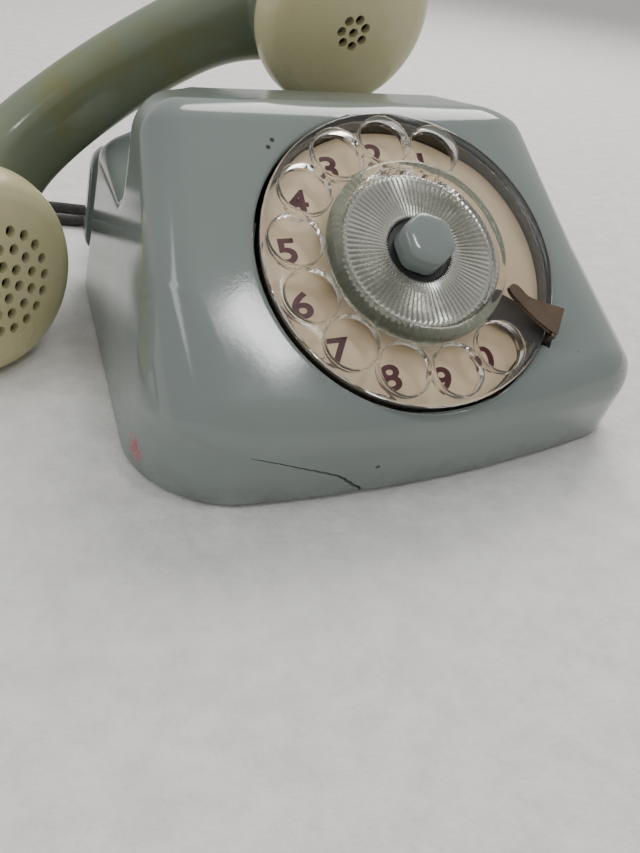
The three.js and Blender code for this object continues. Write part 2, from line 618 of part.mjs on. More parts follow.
function handsetPieces() {
  const cup = [[0, -19], [12, -18.4], [20, -15.8], [25.6, -11], [28.4, -4.5], [28.8, -GAP], [0, -GAP]];
  const hollow = [[0, -11.6], [22.5, -11.6], [24.8, -9.5], [24.8, 1], [0, 1]];
  const above = [[0, -GAP], [36, -GAP], [36, 14], [0, 14]];
  const cups = [-1, 1].map((sign) => atCap(turned(cup, 26), sign));
  const hollows = [-1, 1].flatMap((sign) => [atCap(turned(hollow, 20), sign), atCap(turned(above, 12), sign)]);
  add(handset, 'handset_handle', cut(join(grip(), ...cups), ...hollows), handleGreen);
  const cap = [[0, 8.6], [14, 8.2], [22, 6.6], [26.6, 0], [CAP_RADIUS - 0.3, 0],
    [CAP_RADIUS, 2], [27.6, 6.8], [23.6, 9.2], [16, 10.6], [0, CAP_HEIGHT]];
  add(handset, 'ear_cap', atCap(cut(turned(cap, 28), ...grilleHoles([[7, 4.1]])), 1), capCream);
  add(handset, 'mouth_cap', atCap(
    cut(turned(cap, 28), ...grilleHoles([[6, 4.7], [12, 9.35], [18, 14]])), -1), capCream);
  const capsule = [[0, -10.6], [21.5, -10.6], [23.6, -9], [23.6, 1], [21, 3.4], [0, 4]];
  add(handset, 'receiver_capsule', atCap(turned(capsule, 18), 1), steel);
  add(handset, 'transmitter_capsule', atCap(turned(capsule, 18), -1), blackPlastic);
  const bush = ring(2.6, 4.2, 0, 13, 16).rotateY(-PI / 2).translate(-97.5, 0, BUSH_DEPTH);
  add(handset, 'handset_cord_bush', bush, rubber);
}

// ---------------------------------------------------------------- cords

function tube(route, steps) {
  const section = new THREE.Shape();
  for (let k = 0; k <= 8; k += 1) {
    const [x, y] = polar(CORD_RADIUS, 45 * k);
    if (k) section.lineTo(x, y);
    else section.moveTo(x, y);
  }
  const path = new THREE.CatmullRomCurve3(route.map((point) => new THREE.Vector3(...point)));
  return new THREE.ExtrudeGeometry(section, { steps, extrudePath: path, bevelEnabled: false });
}

function coil(name, { x, y, half, height, tie }) {
  const [inner, outer, low] = [COIL_RADIUS - half, COIL_RADIUS + half, COIL_FLOOR];
  const corner = 2;
  const profile = [[inner, low + corner], [inner + corner, low], [outer - corner, low], [outer, low + corner],
    [outer, height - corner], [outer - corner, height], [inner + corner, height], [inner, height - corner],
    [inner, low + corner]];
  add(telephone, `${name}_coil`, turned(profile, 24).translate(x, y, 0), cordDark);
  const band = cut(
    box(inner - 1.6, outer + 1.6, -2.5, 2.5, 0.1, height + 1.1),
    box(inner - 2 * GAP, outer + 2 * GAP, -4, 4, low - GAP, height + GAP),
  );
  add(telephone, `${name}_tie`, band.rotateZ(tie * DEG).translate(x, y, 0), blackPlastic);
}

function relief(name, x) {
  const profile = [[0, 0], [4.8, 0], [4.8, 1.5], [2.8, 1.5], [2.8, 4.7], [4.6, 4.7], [4.6, 7], [3, 22.6], [0, 22.6]];
  add(telephone, name, turned(profile, 14).rotateX(-PI / 2).translate(x, 107.4, EXIT_HEIGHT), rubber);
}

function cords() {
  relief('handset_cord_relief', CORD_EXITS[0]);
  relief('line_cord_relief', CORD_EXITS[1]);
  add(telephone, 'handset_cord_start', tube(HANDSET_CORD_START, 16), cordDark);
  add(telephone, 'handset_cord_finish', tube(HANDSET_CORD_FINISH, 16), cordDark);
  coil('handset_cord', HANDSET_COIL);
  add(telephone, 'line_cord_start', tube(LINE_CORD_START, 18), cordDark);
  add(telephone, 'line_cord_finish', tube(LINE_CORD_FINISH, 5), cordDark);
  coil('line_cord', LINE_COIL);
  const { front, body, back, y, z } = PLUG;
  const sleeve = rod(2.9, front, body + 1, 0, 0, 12, 4.2).rotateY(PI / 2).translate(0, y, z);
  const shell = new THREE.ExtrudeGeometry(roundedRectangle(body, back, y - 10, y + 10, 3),
    { depth: 11.8, bevelEnabled: false, curveSegments: 3 }).translate(0, 0, 0.1);
  const pins = [-6, -2, 2, 6].map((side) => box(back - 1, back + 7, y + side - 0.6, y + side + 0.6, 4, 8));
  add(telephone, 'line_plug', join(sleeve, shell, ...pins), blackPlastic);
}

// ---------------------------------------------------------------- build

housing();
rearCover();
base();
ringer();
circuit();
hookSwitch();
fingerWheel();
dialFixed();
fingerStop();
mechanism();
handsetPieces();
cords();

// The origin is the middle of the footprint, without the cords and what is on them.
const onCords = /^(handset_cord_(start|finish|coil|tie|relief)|line_)/;
const extent = new THREE.Box3();
telephone.updateMatrixWorld(true);
telephone.traverse((node) => {
  if (node.isMesh && !onCords.test(node.name)) extent.union(new THREE.Box3().setFromObject(node, true));
});
const middle = extent.getCenter(new THREE.Vector3());
telephone.position.set(-middle.x, -middle.y, -extent.min.z);

export default telephone;
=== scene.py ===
# Rotary desk telephone with its handset off the hook: the looks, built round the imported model.
# Shapes are worked out in millimetres with y = 0 below the middle of the dial, and moved into
# the model's frame, in metres, by to_frame().
import json
import math

import bmesh
import bpy
import numpy as np
from mathutils import Matrix, Vector
from mathutils.geometry import delaunay_2d_cdt


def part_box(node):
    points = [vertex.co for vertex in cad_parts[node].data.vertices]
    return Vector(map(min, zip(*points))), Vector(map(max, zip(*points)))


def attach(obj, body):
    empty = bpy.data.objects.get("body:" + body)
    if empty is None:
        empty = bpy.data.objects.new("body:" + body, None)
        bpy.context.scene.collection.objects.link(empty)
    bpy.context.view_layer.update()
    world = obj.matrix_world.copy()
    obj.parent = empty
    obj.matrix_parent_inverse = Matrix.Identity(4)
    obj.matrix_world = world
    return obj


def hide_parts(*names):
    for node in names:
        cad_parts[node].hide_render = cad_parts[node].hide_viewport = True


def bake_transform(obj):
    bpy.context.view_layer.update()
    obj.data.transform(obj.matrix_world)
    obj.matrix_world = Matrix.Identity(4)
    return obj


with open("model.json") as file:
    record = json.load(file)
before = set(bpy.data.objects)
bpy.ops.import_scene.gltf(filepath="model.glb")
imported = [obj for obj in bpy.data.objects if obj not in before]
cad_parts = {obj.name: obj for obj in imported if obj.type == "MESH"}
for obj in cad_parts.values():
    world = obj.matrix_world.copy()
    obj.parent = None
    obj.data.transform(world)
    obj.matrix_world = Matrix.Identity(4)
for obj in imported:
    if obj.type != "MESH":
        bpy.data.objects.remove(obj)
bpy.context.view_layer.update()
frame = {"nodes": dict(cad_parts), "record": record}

MM = 0.001
TAU = 2 * math.pi

# The base plate's near left corner is at x -69, y -18 from the point below the dial.
plate_low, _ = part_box("base_plate")
SHIFT = np.array([plate_low[0] / MM + 69, plate_low[1] / MM + 18, 0.0])

FACE_TILT = math.radians(38)
DIAL_HEIGHT = 52.5
FACE_UP = np.array([0, math.cos(FACE_TILT), math.sin(FACE_TILT)])
FACE_OUT = np.array([0, -math.sin(FACE_TILT), math.cos(FACE_TILT)])
DIAL_CENTRE = np.array([0, 0, DIAL_HEIGHT])

CAP_SPACING = 138.6
CAP_RADIUS = 29.3
CAP_HEIGHT = 11
CAP_TILT = math.radians(21.7)
MOUTH_CENTRE = np.array([-105, 54.4, 29.3])
EAR_CENTRE = np.array([12.4, 91.8, 92.8])
CAPS_FACE = np.array([0.384, -0.907, -0.176])

# The finger stop's direction on the dial, in degrees from its right.
STOP_ANGLE = -34

CORD_RADIUS = 2.2
# Where the cords leave the rear cover, the middles of their coils and the heights of the turns.
CORD_EXITS = {"handset_cord": -58, "line_cord": -38}
EXIT_HEIGHT = 20
HANDSET_COIL = (-147, 129)
LINE_COIL = (-146, 207)
COIL_LAYERS = (3.4, 7.8, 12.2)


def unit(vectors):
    return vectors / np.linalg.norm(vectors, axis=-1, keepdims=True)


def linked(name, data):
    """A new object in the scene."""
    obj = bpy.data.objects.new(name, data)
    bpy.context.collection.objects.link(obj)
    return obj


def to_frame(points):
    return (np.asarray(points, float) + SHIFT) * MM


def from_dial(points):
    """Points on the dial: right along the face, up along the face, out of it."""
    points = np.asarray(points, float)
    return to_frame(
        DIAL_CENTRE
        + points[..., :1] * np.array([1, 0, 0])
        + points[..., 1:2] * FACE_UP
        + points[..., 2:3] * FACE_OUT
    )


CHORD = unit(EAR_CENTRE - MOUTH_CENTRE)
FACING = unit(CAPS_FACE - CAPS_FACE @ CHORD * CHORD)
UPWARD = np.cross(FACING, CHORD)


def from_handset(points):
    """Points on the handset: along it towards the ear, upwards, and the way the caps face."""
    points = np.asarray(points, float)
    middle = (MOUTH_CENTRE + EAR_CENTRE) / 2
    return to_frame(
        middle + points[..., :1] * CHORD + points[..., 1:2] * UPWARD + points[..., 2:3] * FACING
    )


def from_cap(sign):
    """Points about a cap's own axis: sign is -1 at the mouth and 1 at the ear."""

    def place(points):
        points = np.asarray(points, float)
        turn = -sign * CAP_TILT
        along = points[..., 0] * math.cos(turn) + points[..., 2] * math.sin(turn)
        out = points[..., 2] * math.cos(turn) - points[..., 0] * math.sin(turn)
        return from_handset(
            np.stack([along + sign * CAP_SPACING / 2, points[..., 1], out], axis=-1)
        )

    return place


# ---------------------------------------------------------------- camera

# The camera's place, in mm, and its three axes.
CAMERA_PLACE = (-84.576, -133.936, 118.680)
CAMERA_RIGHT = (0.92807, -0.35643, 0.10793)
CAMERA_UP = (0.14524, 0.61324, 0.77642)
CAMERA_BACK = (-0.34292, -0.70490, 0.62091)

lens = bpy.data.cameras.new("camera")
lens.lens = 27.39
lens.sensor_width = 36
camera = linked("camera", lens)
camera.matrix_world = Matrix.Translation(Vector(to_frame(CAMERA_PLACE))) @ Matrix(
    (CAMERA_RIGHT, CAMERA_UP, CAMERA_BACK)
).transposed().to_4x4()
bpy.context.scene.camera = camera


# ---------------------------------------------------------------- mesh making


def build_mesh(name, part, crease=35):
    """A mesh from points and faces, with doubled points joined and the faces turned out."""
    points, faces = part
    mesh = bpy.data.meshes.new(name)
    mesh.from_pydata([tuple(point) for point in points], [], [tuple(face) for face in faces])
    work = bmesh.new()
    work.from_mesh(mesh)
    bmesh.ops.remove_doubles(work, verts=work.verts, dist=2e-6)
    bmesh.ops.recalc_face_normals(work, faces=work.faces)
    work.to_mesh(mesh)
    work.free()
    mesh.shade_smooth()
    mesh.set_sharp_from_angle(angle=math.radians(crease))
    return mesh


def piece(name, part, material, body, nodes=(), slot=None, crease=35):
    """A visible piece. A part is a pair, points in the frame and faces."""
    mesh = build_mesh(name, part, crease)
    mesh.materials.append(material)
    obj = linked(name, mesh)
    if body:
        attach(obj, body)
    if nodes:
        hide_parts(*nodes)
    return obj


def grid_faces(rows, columns, wrap_rows=False, ends=False):
    """Quads between closed rows of points, with a face over each end if asked."""
    faces = []
    for row in range(rows if wrap_rows else rows - 1):
        below, above = row * columns, (row + 1) % rows * columns
        for column in range(columns):
            beside = (column + 1) % columns
            faces.append((below + column, below + beside, above + beside, above + column))
    if ends:
        faces.append(tuple(reversed(range(columns))))
        faces.append(tuple(range((rows - 1) * columns, rows * columns)))
    return faces


def soften(profile, radius=0.5, closed=False, steps=4):
    """The profile with each corner rounded."""
    profile = [np.array(point, float) for point in profile]
    if closed:
        profile = profile[:-1]
    count = len(profile)
    rounded = []
    for k, corner in enumerate(profile):
        if not closed and k in (0, count - 1):
            rounded.append(corner)
            continue
        before, after = profile[k - 1] - corner, profile[(k + 1) % count] - corner
        reach = min(radius, 0.45 * np.linalg.norm(before), 0.45 * np.linalg.norm(after))
        first, last = corner + unit(before) * reach, corner + unit(after) * reach
        for step in range(steps + 1):
            t = step / steps
            rounded.append((1 - t) ** 2 * first + 2 * t * (1 - t) * corner + t * t * last)
    if closed:
        rounded.append(rounded[0])
    return [tuple(point) for point in rounded]


def rounded_outline(corners, radius, steps):
    """The corners as a closed outline with rounded corners."""
    return soften([*corners, corners[0]], radius, True, steps)[:-1]


def oblong(left, right, low, high):
    return [(left, low), (right, low), (right, high), (left, high)]


def lathe(profile, sides=96):
    """A turned part about Z. A closed profile ends where it starts."""
    profile = np.asarray(profile, float)
    closed = np.allclose(profile[0], profile[-1])
    if closed:
        profile = profile[:-1]
    turn = np.arange(sides) * TAU / sides
    heights = np.repeat(profile[:, 1:], sides, axis=1)
    points = [profile[:, :1] * np.cos(turn), profile[:, :1] * np.sin(turn), heights]
    faces = grid_faces(len(profile), sides, wrap_rows=closed)
    return np.stack(points, axis=-1).reshape(-1, 3), faces


def washer(inner, outer, low, high, edge, sides):
    """A flat ring about Z with softened edges."""
    profile = oblong(inner, outer, low, high)
    return lathe(soften(profile + profile[:1], edge, True), sides)


def combine(*parts):
    """Several parts as one."""
    points, faces, start = [], [], 0
    for part_points, part_faces in parts:
        points.append(np.asarray(part_points, float))
        faces += [tuple(index + start for index in face) for face in part_faces]
        start += len(part_points)
    return np.concatenate(points), faces


def placed(part, place=to_frame):
    return place(part[0]), part[1]


def moved(part, x=0, y=0, z=0):
    return part[0] + np.array([x, y, z]), part[1]


def along_y(part, x=0, y=0, z=0):
    """A part made along Z, laid along Y and moved."""
    return moved((part[0][:, [0, 2, 1]], part[1]), x, y, z)


def turned_to(part, degrees):
    """The part turned about Z."""
    c, s = math.cos(math.radians(degrees)), math.sin(math.radians(degrees))
    return part[0] @ np.array([[c, s, 0], [-s, c, 0], [0, 0, 1]]), part[1]


def prism(outline, z_low, z_high, edge=0.3):
    """An outline extruded along Z with softly rounded top and bottom edges."""
    outline = np.asarray(outline, float)
    way = unit(np.roll(outline, -1, axis=0) - outline) + unit(outline - np.roll(outline, 1, axis=0))
    inward = unit(np.stack([-way[:, 1], way[:, 0]], axis=1))
    rounding = [(edge, 0), (edge * 0.3, edge * 0.3), (0, edge)]
    levels = [(inset, z_low + up) for inset, up in rounding]
    levels += [(inset, z_high - down) for inset, down in reversed(rounding)]
    rows = [
        np.column_stack([outline + inward * inset, np.full(len(outline), z)]) for inset, z in levels
    ]
    return np.concatenate(rows), grid_faces(len(rows), len(outline), ends=True)


def catmull(points, steps):
    """A smooth line through the points, as a centripetal Catmull-Rom curve."""
    points = np.asarray(points, float)
    line = np.vstack([2 * points[0] - points[1], points, 2 * points[-1] - points[-2]])
    smooth = []
    for k in range(1, len(line) - 2):
        p0, p1, p2, p3 = line[k - 1 : k + 3]
        t1 = np.linalg.norm(p1 - p0) ** 0.5
        t2 = t1 + np.linalg.norm(p2 - p1) ** 0.5
        t3 = t2 + np.linalg.norm(p3 - p2) ** 0.5
        for t in np.linspace(t1, t2, steps, endpoint=False):
            a1 = (t1 - t) / t1 * p0 + t / t1 * p1
            a2 = (t2 - t) / (t2 - t1) * p1 + (t - t1) / (t2 - t1) * p2
            a3 = (t3 - t) / (t3 - t2) * p2 + (t - t2) / (t3 - t2) * p3
            b1 = (t2 - t) / t2 * a1 + t / t2 * a2
            b2 = (t3 - t) / (t3 - t1) * a2 + (t - t1) / (t3 - t1) * a3
            smooth.append((t2 - t) / (t2 - t1) * b1 + (t - t1) / (t2 - t1) * b2)
    smooth.append(points[-1])
    return np.array(smooth)


def sweep(path, radius, sides=14):
    """A closed round tube along a path."""
    path = np.asarray(path, float)
    tangents = unit(np.gradient(path, axis=0))
    side = unit(np.cross(tangents[0], [0, 0, 1]))
    turn = np.arange(sides) * TAU / sides
    rows = []
    for point, tangent in zip(path, tangents):
        side = unit(side - side @ tangent * tangent)
        other = np.cross(tangent, side)
        rows.append(point + radius * (np.outer(np.cos(turn), side) + np.outer(np.sin(turn), other)))
    return np.concatenate(rows), grid_faces(len(rows), sides, ends=True)


def modified(obj, kind, **settings):
    """Adds a modifier to the object and applies it."""
    modifier = obj.modifiers.new(kind.lower(), kind)
    for name, value in settings.items():
        setattr(modifier, name, value)
    graph = bpy.context.evaluated_depsgraph_get()
    mesh = bpy.data.meshes.new_from_object(obj.evaluated_get(graph))
    obj.modifiers.remove(modifier)
    old = obj.data
    mesh.name = old.name
    obj.data = mesh
    bpy.data.meshes.remove(old)


def cut_away(obj, part, crease=35):
    """Cuts a closed part out of the object."""
    cutter = linked("cutter", build_mesh("cutter", part))
    bpy.context.view_layer.update()
    modified(obj, "BOOLEAN", operation="DIFFERENCE", solver="EXACT", object=cutter)
    bpy.data.objects.remove(cutter)
    obj.data.shade_smooth()
    obj.data.set_sharp_from_angle(angle=math.radians(crease))


# ---------------------------------------------------------------- materials


class Nodes:
    """A short way to write a material's nodes."""

    def __init__(self, name):
        self.material = bpy.data.materials.new(name)
        self.material.use_nodes = True
        self.tree = self.material.node_tree
        self.shader = self.tree.nodes["Principled BSDF"]
        self.place = self.tree.nodes.new("ShaderNodeTexCoord").outputs["Object"]

    def feed(self, socket, value):
        if isinstance(value, bpy.types.NodeSocket):
            self.tree.links.new(value, socket)
        else:
            socket.default_value = value

    def add(self, kind, inputs=(), **settings):
        node = self.tree.nodes.new(kind)
        for name, value in settings.items():
            setattr(node, name, value)
        for name, value in dict(inputs).items():
            self.feed(node.inputs[name], value)
        return node

    def set(self, **inputs):
        """Sets or links the shader's own sockets."""
        for name, value in inputs.items():
            self.feed(self.shader.inputs[name.replace("_", " ")], value)

    def noise(self, per_mm, detail=2, roughness=0.5, stretch=None):
        place = self.place
        if stretch:
            mapping = self.add("ShaderNodeMapping", {"Vector": place, "Scale": stretch})
            place = mapping.outputs["Vector"]
        inputs = {"Vector": place, "Scale": per_mm / MM, "Detail": detail, "Roughness": roughness}
        return self.add("ShaderNodeTexNoise", inputs).outputs["Fac"]

    def ramp(self, value, low, high, start=0.0, end=1.0):
        inputs = {"Value": value, "From Min": low, "From Max": high, "To Min": start, "To Max": end}
        return self.add("ShaderNodeMapRange", inputs).outputs["Result"]

    def math(self, operation, a, b=0.0):
        return self.add("ShaderNodeMath", {0: a, 1: b}, operation=operation).outputs[0]

    def mix(self, share, a, b):
        # Sockets 0, 6 and 7 are the factor and the two colours, and 2 is the colour that comes out.
        inputs = {0: share, 6: rgba(a), 7: rgba(b)}
        return self.add("ShaderNodeMix", inputs, data_type="RGBA").outputs[2]

    def bump(self, height, millimetres, strength=1.0):
        inputs = {"Height": height, "Distance": millimetres * MM, "Strength": strength}
        return self.add("ShaderNodeBump", inputs).outputs["Normal"]

    def near(self, point, radius_mm):
        """1 at the point in the frame, falling to 0 at the radius."""
        inputs = {0: self.place, 1: tuple(point)}
        gap = self.add("ShaderNodeVectorMath", inputs, operation="DISTANCE").outputs["Value"]
        return self.ramp(gap, radius_mm * MM, 0.0)


def rgba(colour):
    return colour if isinstance(colour, bpy.types.NodeSocket) else (*colour, 1)


def gloss_plastic(name, colour, darker, roughness, stain=None, stain_share=0.5):
    """Moulded plastic: slow colour changes, a fine orange peel, rubbed and scratched patches."""
    nodes = Nodes(name)
    slow = nodes.ramp(nodes.noise(0.02, 3), 0.35, 0.65)
    base = nodes.mix(slow, colour, darker)
    if stain:
        patch = nodes.ramp(nodes.noise(0.035, 4, 0.6), 0.48, 0.66, 0.0, stain_share)
        base = nodes.mix(patch, base, stain)
    rubbed = nodes.noise(0.06, 5, 0.65)
    scratch = nodes.noise(0.5, 4, 0.7, stretch=(1, 7, 3))
    peel = nodes.noise(0.9, 2, 0.5)
    height = nodes.math("ADD", nodes.math("MULTIPLY", peel, 0.6), nodes.math("MULTIPLY", scratch, 0.4))
    gloss = nodes.ramp(rubbed, 0.35, 0.7, roughness * 0.75, roughness * 1.45)
    nodes.set(Base_Color=base, Roughness=gloss, Normal=nodes.bump(height, 0.012))
    nodes.set(IOR=1.5)
    return nodes


def metal(name, colour, darker, roughness, stretch=(1, 1, 1), metallic=1.0, bump_mm=0.02):
    nodes = Nodes(name)
    grain = nodes.noise(0.8, 4, 0.6, stretch=stretch)
    patch = nodes.ramp(nodes.noise(0.08, 4, 0.6), 0.35, 0.7)
    nodes.set(Base_Color=nodes.mix(patch, colour, darker), Metallic=metallic)
    nodes.set(Roughness=nodes.ramp(grain, 0.3, 0.7, roughness * 0.7, roughness * 1.4))
    nodes.set(Normal=nodes.bump(grain, bump_mm))
    return nodes.material


def dull(name, colour, darker, roughness, bump_mm=0.03, per_mm=1.2):
    nodes = Nodes(name)
    grain = nodes.noise(per_mm, 4, 0.6)
    patch = nodes.ramp(nodes.noise(0.05, 3), 0.35, 0.7)
    nodes.set(Base_Color=nodes.mix(patch, colour, darker))
    nodes.set(Roughness=nodes.ramp(grain, 0.3, 0.7, roughness * 0.85, min(1.0, roughness * 1.15)))
    nodes.set(Normal=nodes.bump(grain, bump_mm))
    return nodes.material


def shell_material():
    """Grey-blue shell, darker in patches towards the bottom, with small specks and a rub of red paint."""
    nodes = gloss_plastic("shell_grey", (0.200, 0.236, 0.222), (0.180, 0.213, 0.203), 0.1)
    base = nodes.shader.inputs["Base Color"].links[0].from_socket
    height = nodes.add("ShaderNodeSeparateXYZ", {"Vector": nodes.place}).outputs["Z"]
    # Darker towards the bottom, in noisy patches, within 12 mm of the table.
    low = nodes.ramp(height, 12 * MM, 1 * MM)
    darker_low_patches = nodes.math("MULTIPLY", low, nodes.ramp(nodes.noise(0.12, 5, 0.65), 0.4, 0.75, 0, 0.7))
    base = nodes.mix(darker_low_patches, base, (0.09, 0.095, 0.08))
    cells = nodes.add(
        "ShaderNodeTexVoronoi", {"Vector": nodes.place, "Scale": 0.045 / MM, "Randomness": 1.0}
    ).outputs["Distance"]
    dark = (0.03, 0.03, 0.028)
    base = nodes.mix(nodes.ramp(cells, 0.022, 0.012), base, dark)
    for place, radius in [
        ((-17, -31, 11.7), 1.0), ((-30.5, 26.2, 73), 0.9), ((-31.9, 24.6, 71.8), 0.9),
        ((-63.2, -24.5, 24.4), 1.1), ((-58.7, -27.4, 23.6), 0.9),
    ]:
        spot = nodes.ramp(nodes.near(to_frame(place), radius), 0.2, 0.45)
        base = nodes.mix(spot, base, dark)
    scuff = nodes.math("MULTIPLY", nodes.near(to_frame((59, -26, 23)), 11),
                       nodes.ramp(nodes.noise(0.7, 5, 0.7, stretch=(1, 1, 5)), 0.56, 0.62))
    base = nodes.mix(scuff, base, (0.04, 0.042, 0.04))
    rub = nodes.math("MULTIPLY", nodes.near(to_frame((-72, -5, 8)), 4.5),
                     nodes.ramp(nodes.noise(0.8, 5, 0.7), 0.46, 0.56, 0, 1.8))
    nodes.set(Base_Color=nodes.mix(rub, base, (0.42, 0.03, 0.06)))
    return nodes.material


def cap_material():
    nodes = gloss_plastic(
        "cap_cream", (0.60, 0.56, 0.34), (0.56, 0.52, 0.30), 0.22, (0.47, 0.42, 0.2), 0.35
    )
    nodes.set(Subsurface_Weight=0.08, Subsurface_Scale=0.003)
    return nodes.material


def clear_material():
    """Clear polished plastic, a little scratched."""
    nodes = Nodes("clear_plastic")
    scratch = nodes.noise(0.6, 4, 0.7, stretch=(1, 5, 2))
    nodes.set(Base_Color=(0.98, 0.975, 0.955, 1), Transmission_Weight=0.985, IOR=1.3)
    nodes.set(Roughness=nodes.ramp(scratch, 0.4, 0.75, 0.02, 0.16))
    nodes.set(Normal=nodes.bump(scratch, 0.008))
    return nodes.material


def cord_material(name, weave_mm):
    nodes = Nodes(name)
    weave = nodes.noise(1 / weave_mm, 3, 0.6)
    base = nodes.mix(nodes.ramp(weave, 0.35, 0.7), (0.012, 0.011, 0.01), (0.05, 0.045, 0.038))
    nodes.set(Base_Color=base, Roughness=nodes.ramp(weave, 0.3, 0.7, 0.5, 0.8))
    nodes.set(Normal=nodes.bump(weave, 0.12))
    return nodes.material


shell_grey = shell_material()
handle_green = gloss_plastic(
    "handle_green", (0.19, 0.215, 0.145), (0.15, 0.185, 0.13), 0.2, (0.19, 0.18, 0.05), 0.8
).material
cap_cream = cap_material()
plate_cream = gloss_plastic(
    "plate_cream", (0.88, 0.71, 0.49), (0.84, 0.66, 0.44), 0.38, (0.5, 0.36, 0.2), 0.3
).material
clear_plastic = clear_material()
digit_maroon = dull("digit_maroon", (0.085, 0.007, 0.014), (0.07, 0.006, 0.012), 0.4, 0.01)
disc_silver = metal("disc_silver", (0.54, 0.54, 0.50), (0.44, 0.44, 0.40), 0.24,
                    metallic=0.92, bump_mm=0.003)
stop_metal = metal("stop_metal", (0.17, 0.127, 0.095), (0.12, 0.09, 0.068), 0.38, (1, 6, 1))
zinc_steel = metal("zinc_steel", (0.5, 0.5, 0.49), (0.38, 0.38, 0.36), 0.35)
satin_brass = metal("satin_brass", (0.5, 0.36, 0.14), (0.38, 0.26, 0.1), 0.3)
copper_wire = metal("copper_wire", (0.42, 0.17, 0.07), (0.3, 0.11, 0.05), 0.4, (1, 1, 9))
black_plastic = dull("black_plastic", (0.014, 0.014, 0.015), (0.022, 0.022, 0.022), 0.42)
recess_olive = dull("recess_olive", (0.075, 0.066, 0.048), (0.05, 0.045, 0.034), 0.25, 0.01)
hub_pale = dull("hub_pale", (0.36, 0.39, 0.30), (0.28, 0.30, 0.23), 0.35, 0.02)
# The stop's metal darkened for its arm under the wheel: painted shade for the wheel's shadow.
stop_arm_painted_shade = metal("stop_arm_painted_shade", (0.07, 0.055, 0.045), (0.04, 0.032, 0.028), 0.45)
board_brown = dull("board_brown", (0.22, 0.12, 0.05), (0.17, 0.09, 0.035), 0.55)
rubber = dull("rubber", (0.014, 0.014, 0.014), (0.026, 0.025, 0.024), 0.75, 0.05)
rough_cord = cord_material("rough_cord", 0.9)
smooth_cord = cord_material("smooth_cord", 2.5)

SLOT_MATERIALS = {
    "shell_grey": shell_grey,
    "handle_green": handle_green,
    "cap_cream": cap_cream,
    "plate_cream": plate_cream,
    "clear_plastic": clear_plastic,
    "stop_metal": stop_metal,
    "steel": zinc_steel,
    "brass": satin_brass,
    "copper_wire": copper_wire,
    "black_plastic": black_plastic,
    "board_brown": board_brown,
    "rubber": rubber,
    "cord_dark": rough_cord,
}


def finish_cad_nodes():
    """Every CAD node that stays gets its procedural material."""
    slots = {entry["node"]: entry["material_slot"] for entry in frame["record"]["subparts"]}
    for name, obj in frame["nodes"].items():
        obj.data.materials.clear()
        obj.data.materials.append(SLOT_MATERIALS[slots[name]])


finish_cad_nodes()


# ---------------------------------------------------------------- cords

# The same routes as in the CAD model, in metres from the point below the dial.
HANDSET_CORD_START = [
    (-0.058, 0.1303, 0.02), (-0.058, 0.133, 0.0198), (-0.058, 0.1376, 0.0182),
    (-0.0586, 0.1435, 0.013), (-0.0615, 0.149, 0.0074), (-0.0665, 0.153, 0.0038),
    (-0.073, 0.1556, 0.0023), (-0.081, 0.158, 0.0023), (-0.092, 0.161, 0.0023),
    (-0.104, 0.163, 0.0023), (-0.118, 0.1634, 0.0023), (-0.132, 0.1626, 0.0023),
]
HANDSET_CORD_FINISH = [
    (-0.1802, 0.112, 0.0023), (-0.1798, 0.096, 0.0023), (-0.1792, 0.08, 0.0023),
    (-0.1786, 0.066, 0.0023), (-0.1766, 0.055, 0.0023), (-0.1714, 0.047, 0.0024),
    (-0.1636, 0.043, 0.0032), (-0.1556, 0.042, 0.0052), (-0.1486, 0.0429, 0.0076),
    (-0.1414, 0.0448, 0.0108),
]
LINE_CORD_START = [
    (-0.038, 0.1303, 0.02), (-0.038, 0.133, 0.0198), (-0.0382, 0.138, 0.0182),
    (-0.04, 0.146, 0.0126), (-0.0446, 0.1534, 0.0068), (-0.0516, 0.1596, 0.0032),
    (-0.06, 0.1638, 0.0023), (-0.071, 0.1684, 0.0023), (-0.083, 0.173, 0.0023),
    (-0.096, 0.1764, 0.0023), (-0.11, 0.177, 0.0023), (-0.124, 0.1746, 0.0023),
    (-0.136, 0.1719, 0.0023),
]
LINE_CORD_FINISH = [
    (-0.1598, 0.241, 0.0026), (-0.156, 0.2448, 0.0035), (-0.1526, 0.2484, 0.0049),
    (-0.1496, 0.2506, 0.0058), (-0.1465, 0.251, 0.006),
]
TURN_POINTS = 24


def ease(share):
    """From 0 to 1 with a slow start and end."""
    share = min(1, max(0, share))
    return share * share * (3 - 2 * share)


def coil_points(centre, start_angle, end_angle, tracks, entry, leaving):
    """Points of a coil, in mm. tracks holds the radius and height of each turn, entry and
    leaving are (radius, height) outside the first and last turn. Angles are in degrees."""
    way = 1 if end_angle > start_angle else -1
    turns = abs(end_angle - start_angle) / 360
    points = []
    for k in range(int(turns * TURN_POINTS) + 1):
        at = k / TURN_POINTS
        left = turns - at
        track = min(int(at), len(tracks) - 1)
        radius, height = tracks[track]
        if track + 1 < len(tracks):
            # The last fifth of a turn leads to the next one.
            share = ease((at - track - 0.8) / 0.2)
            radius += (tracks[track + 1][0] - radius) * share
            height += (tracks[track + 1][1] - height) * share
        if at < 0.12:
            radius += (entry[0] - radius) * (1 - at / 0.12) ** 2
        # The last quarter turn goes outwards, then down to the table.
        radius += (leaving[0] - radius) * ease((0.25 - left) / 0.14)
        height += (leaving[1] - height) * ease((0.17 - left) / 0.17)
        angle = math.radians(start_angle + way * at * 360)
        points.append(
            (centre[0] + radius * math.cos(angle), centre[1] + radius * math.sin(angle), height)
        )
    return points


def cord_line(start, coil, end):
    route = [tuple(value / MM for value in point) for point in start]
    route += coil
    route += [tuple(value / MM for value in point) for point in end]
    return catmull(route, 5)


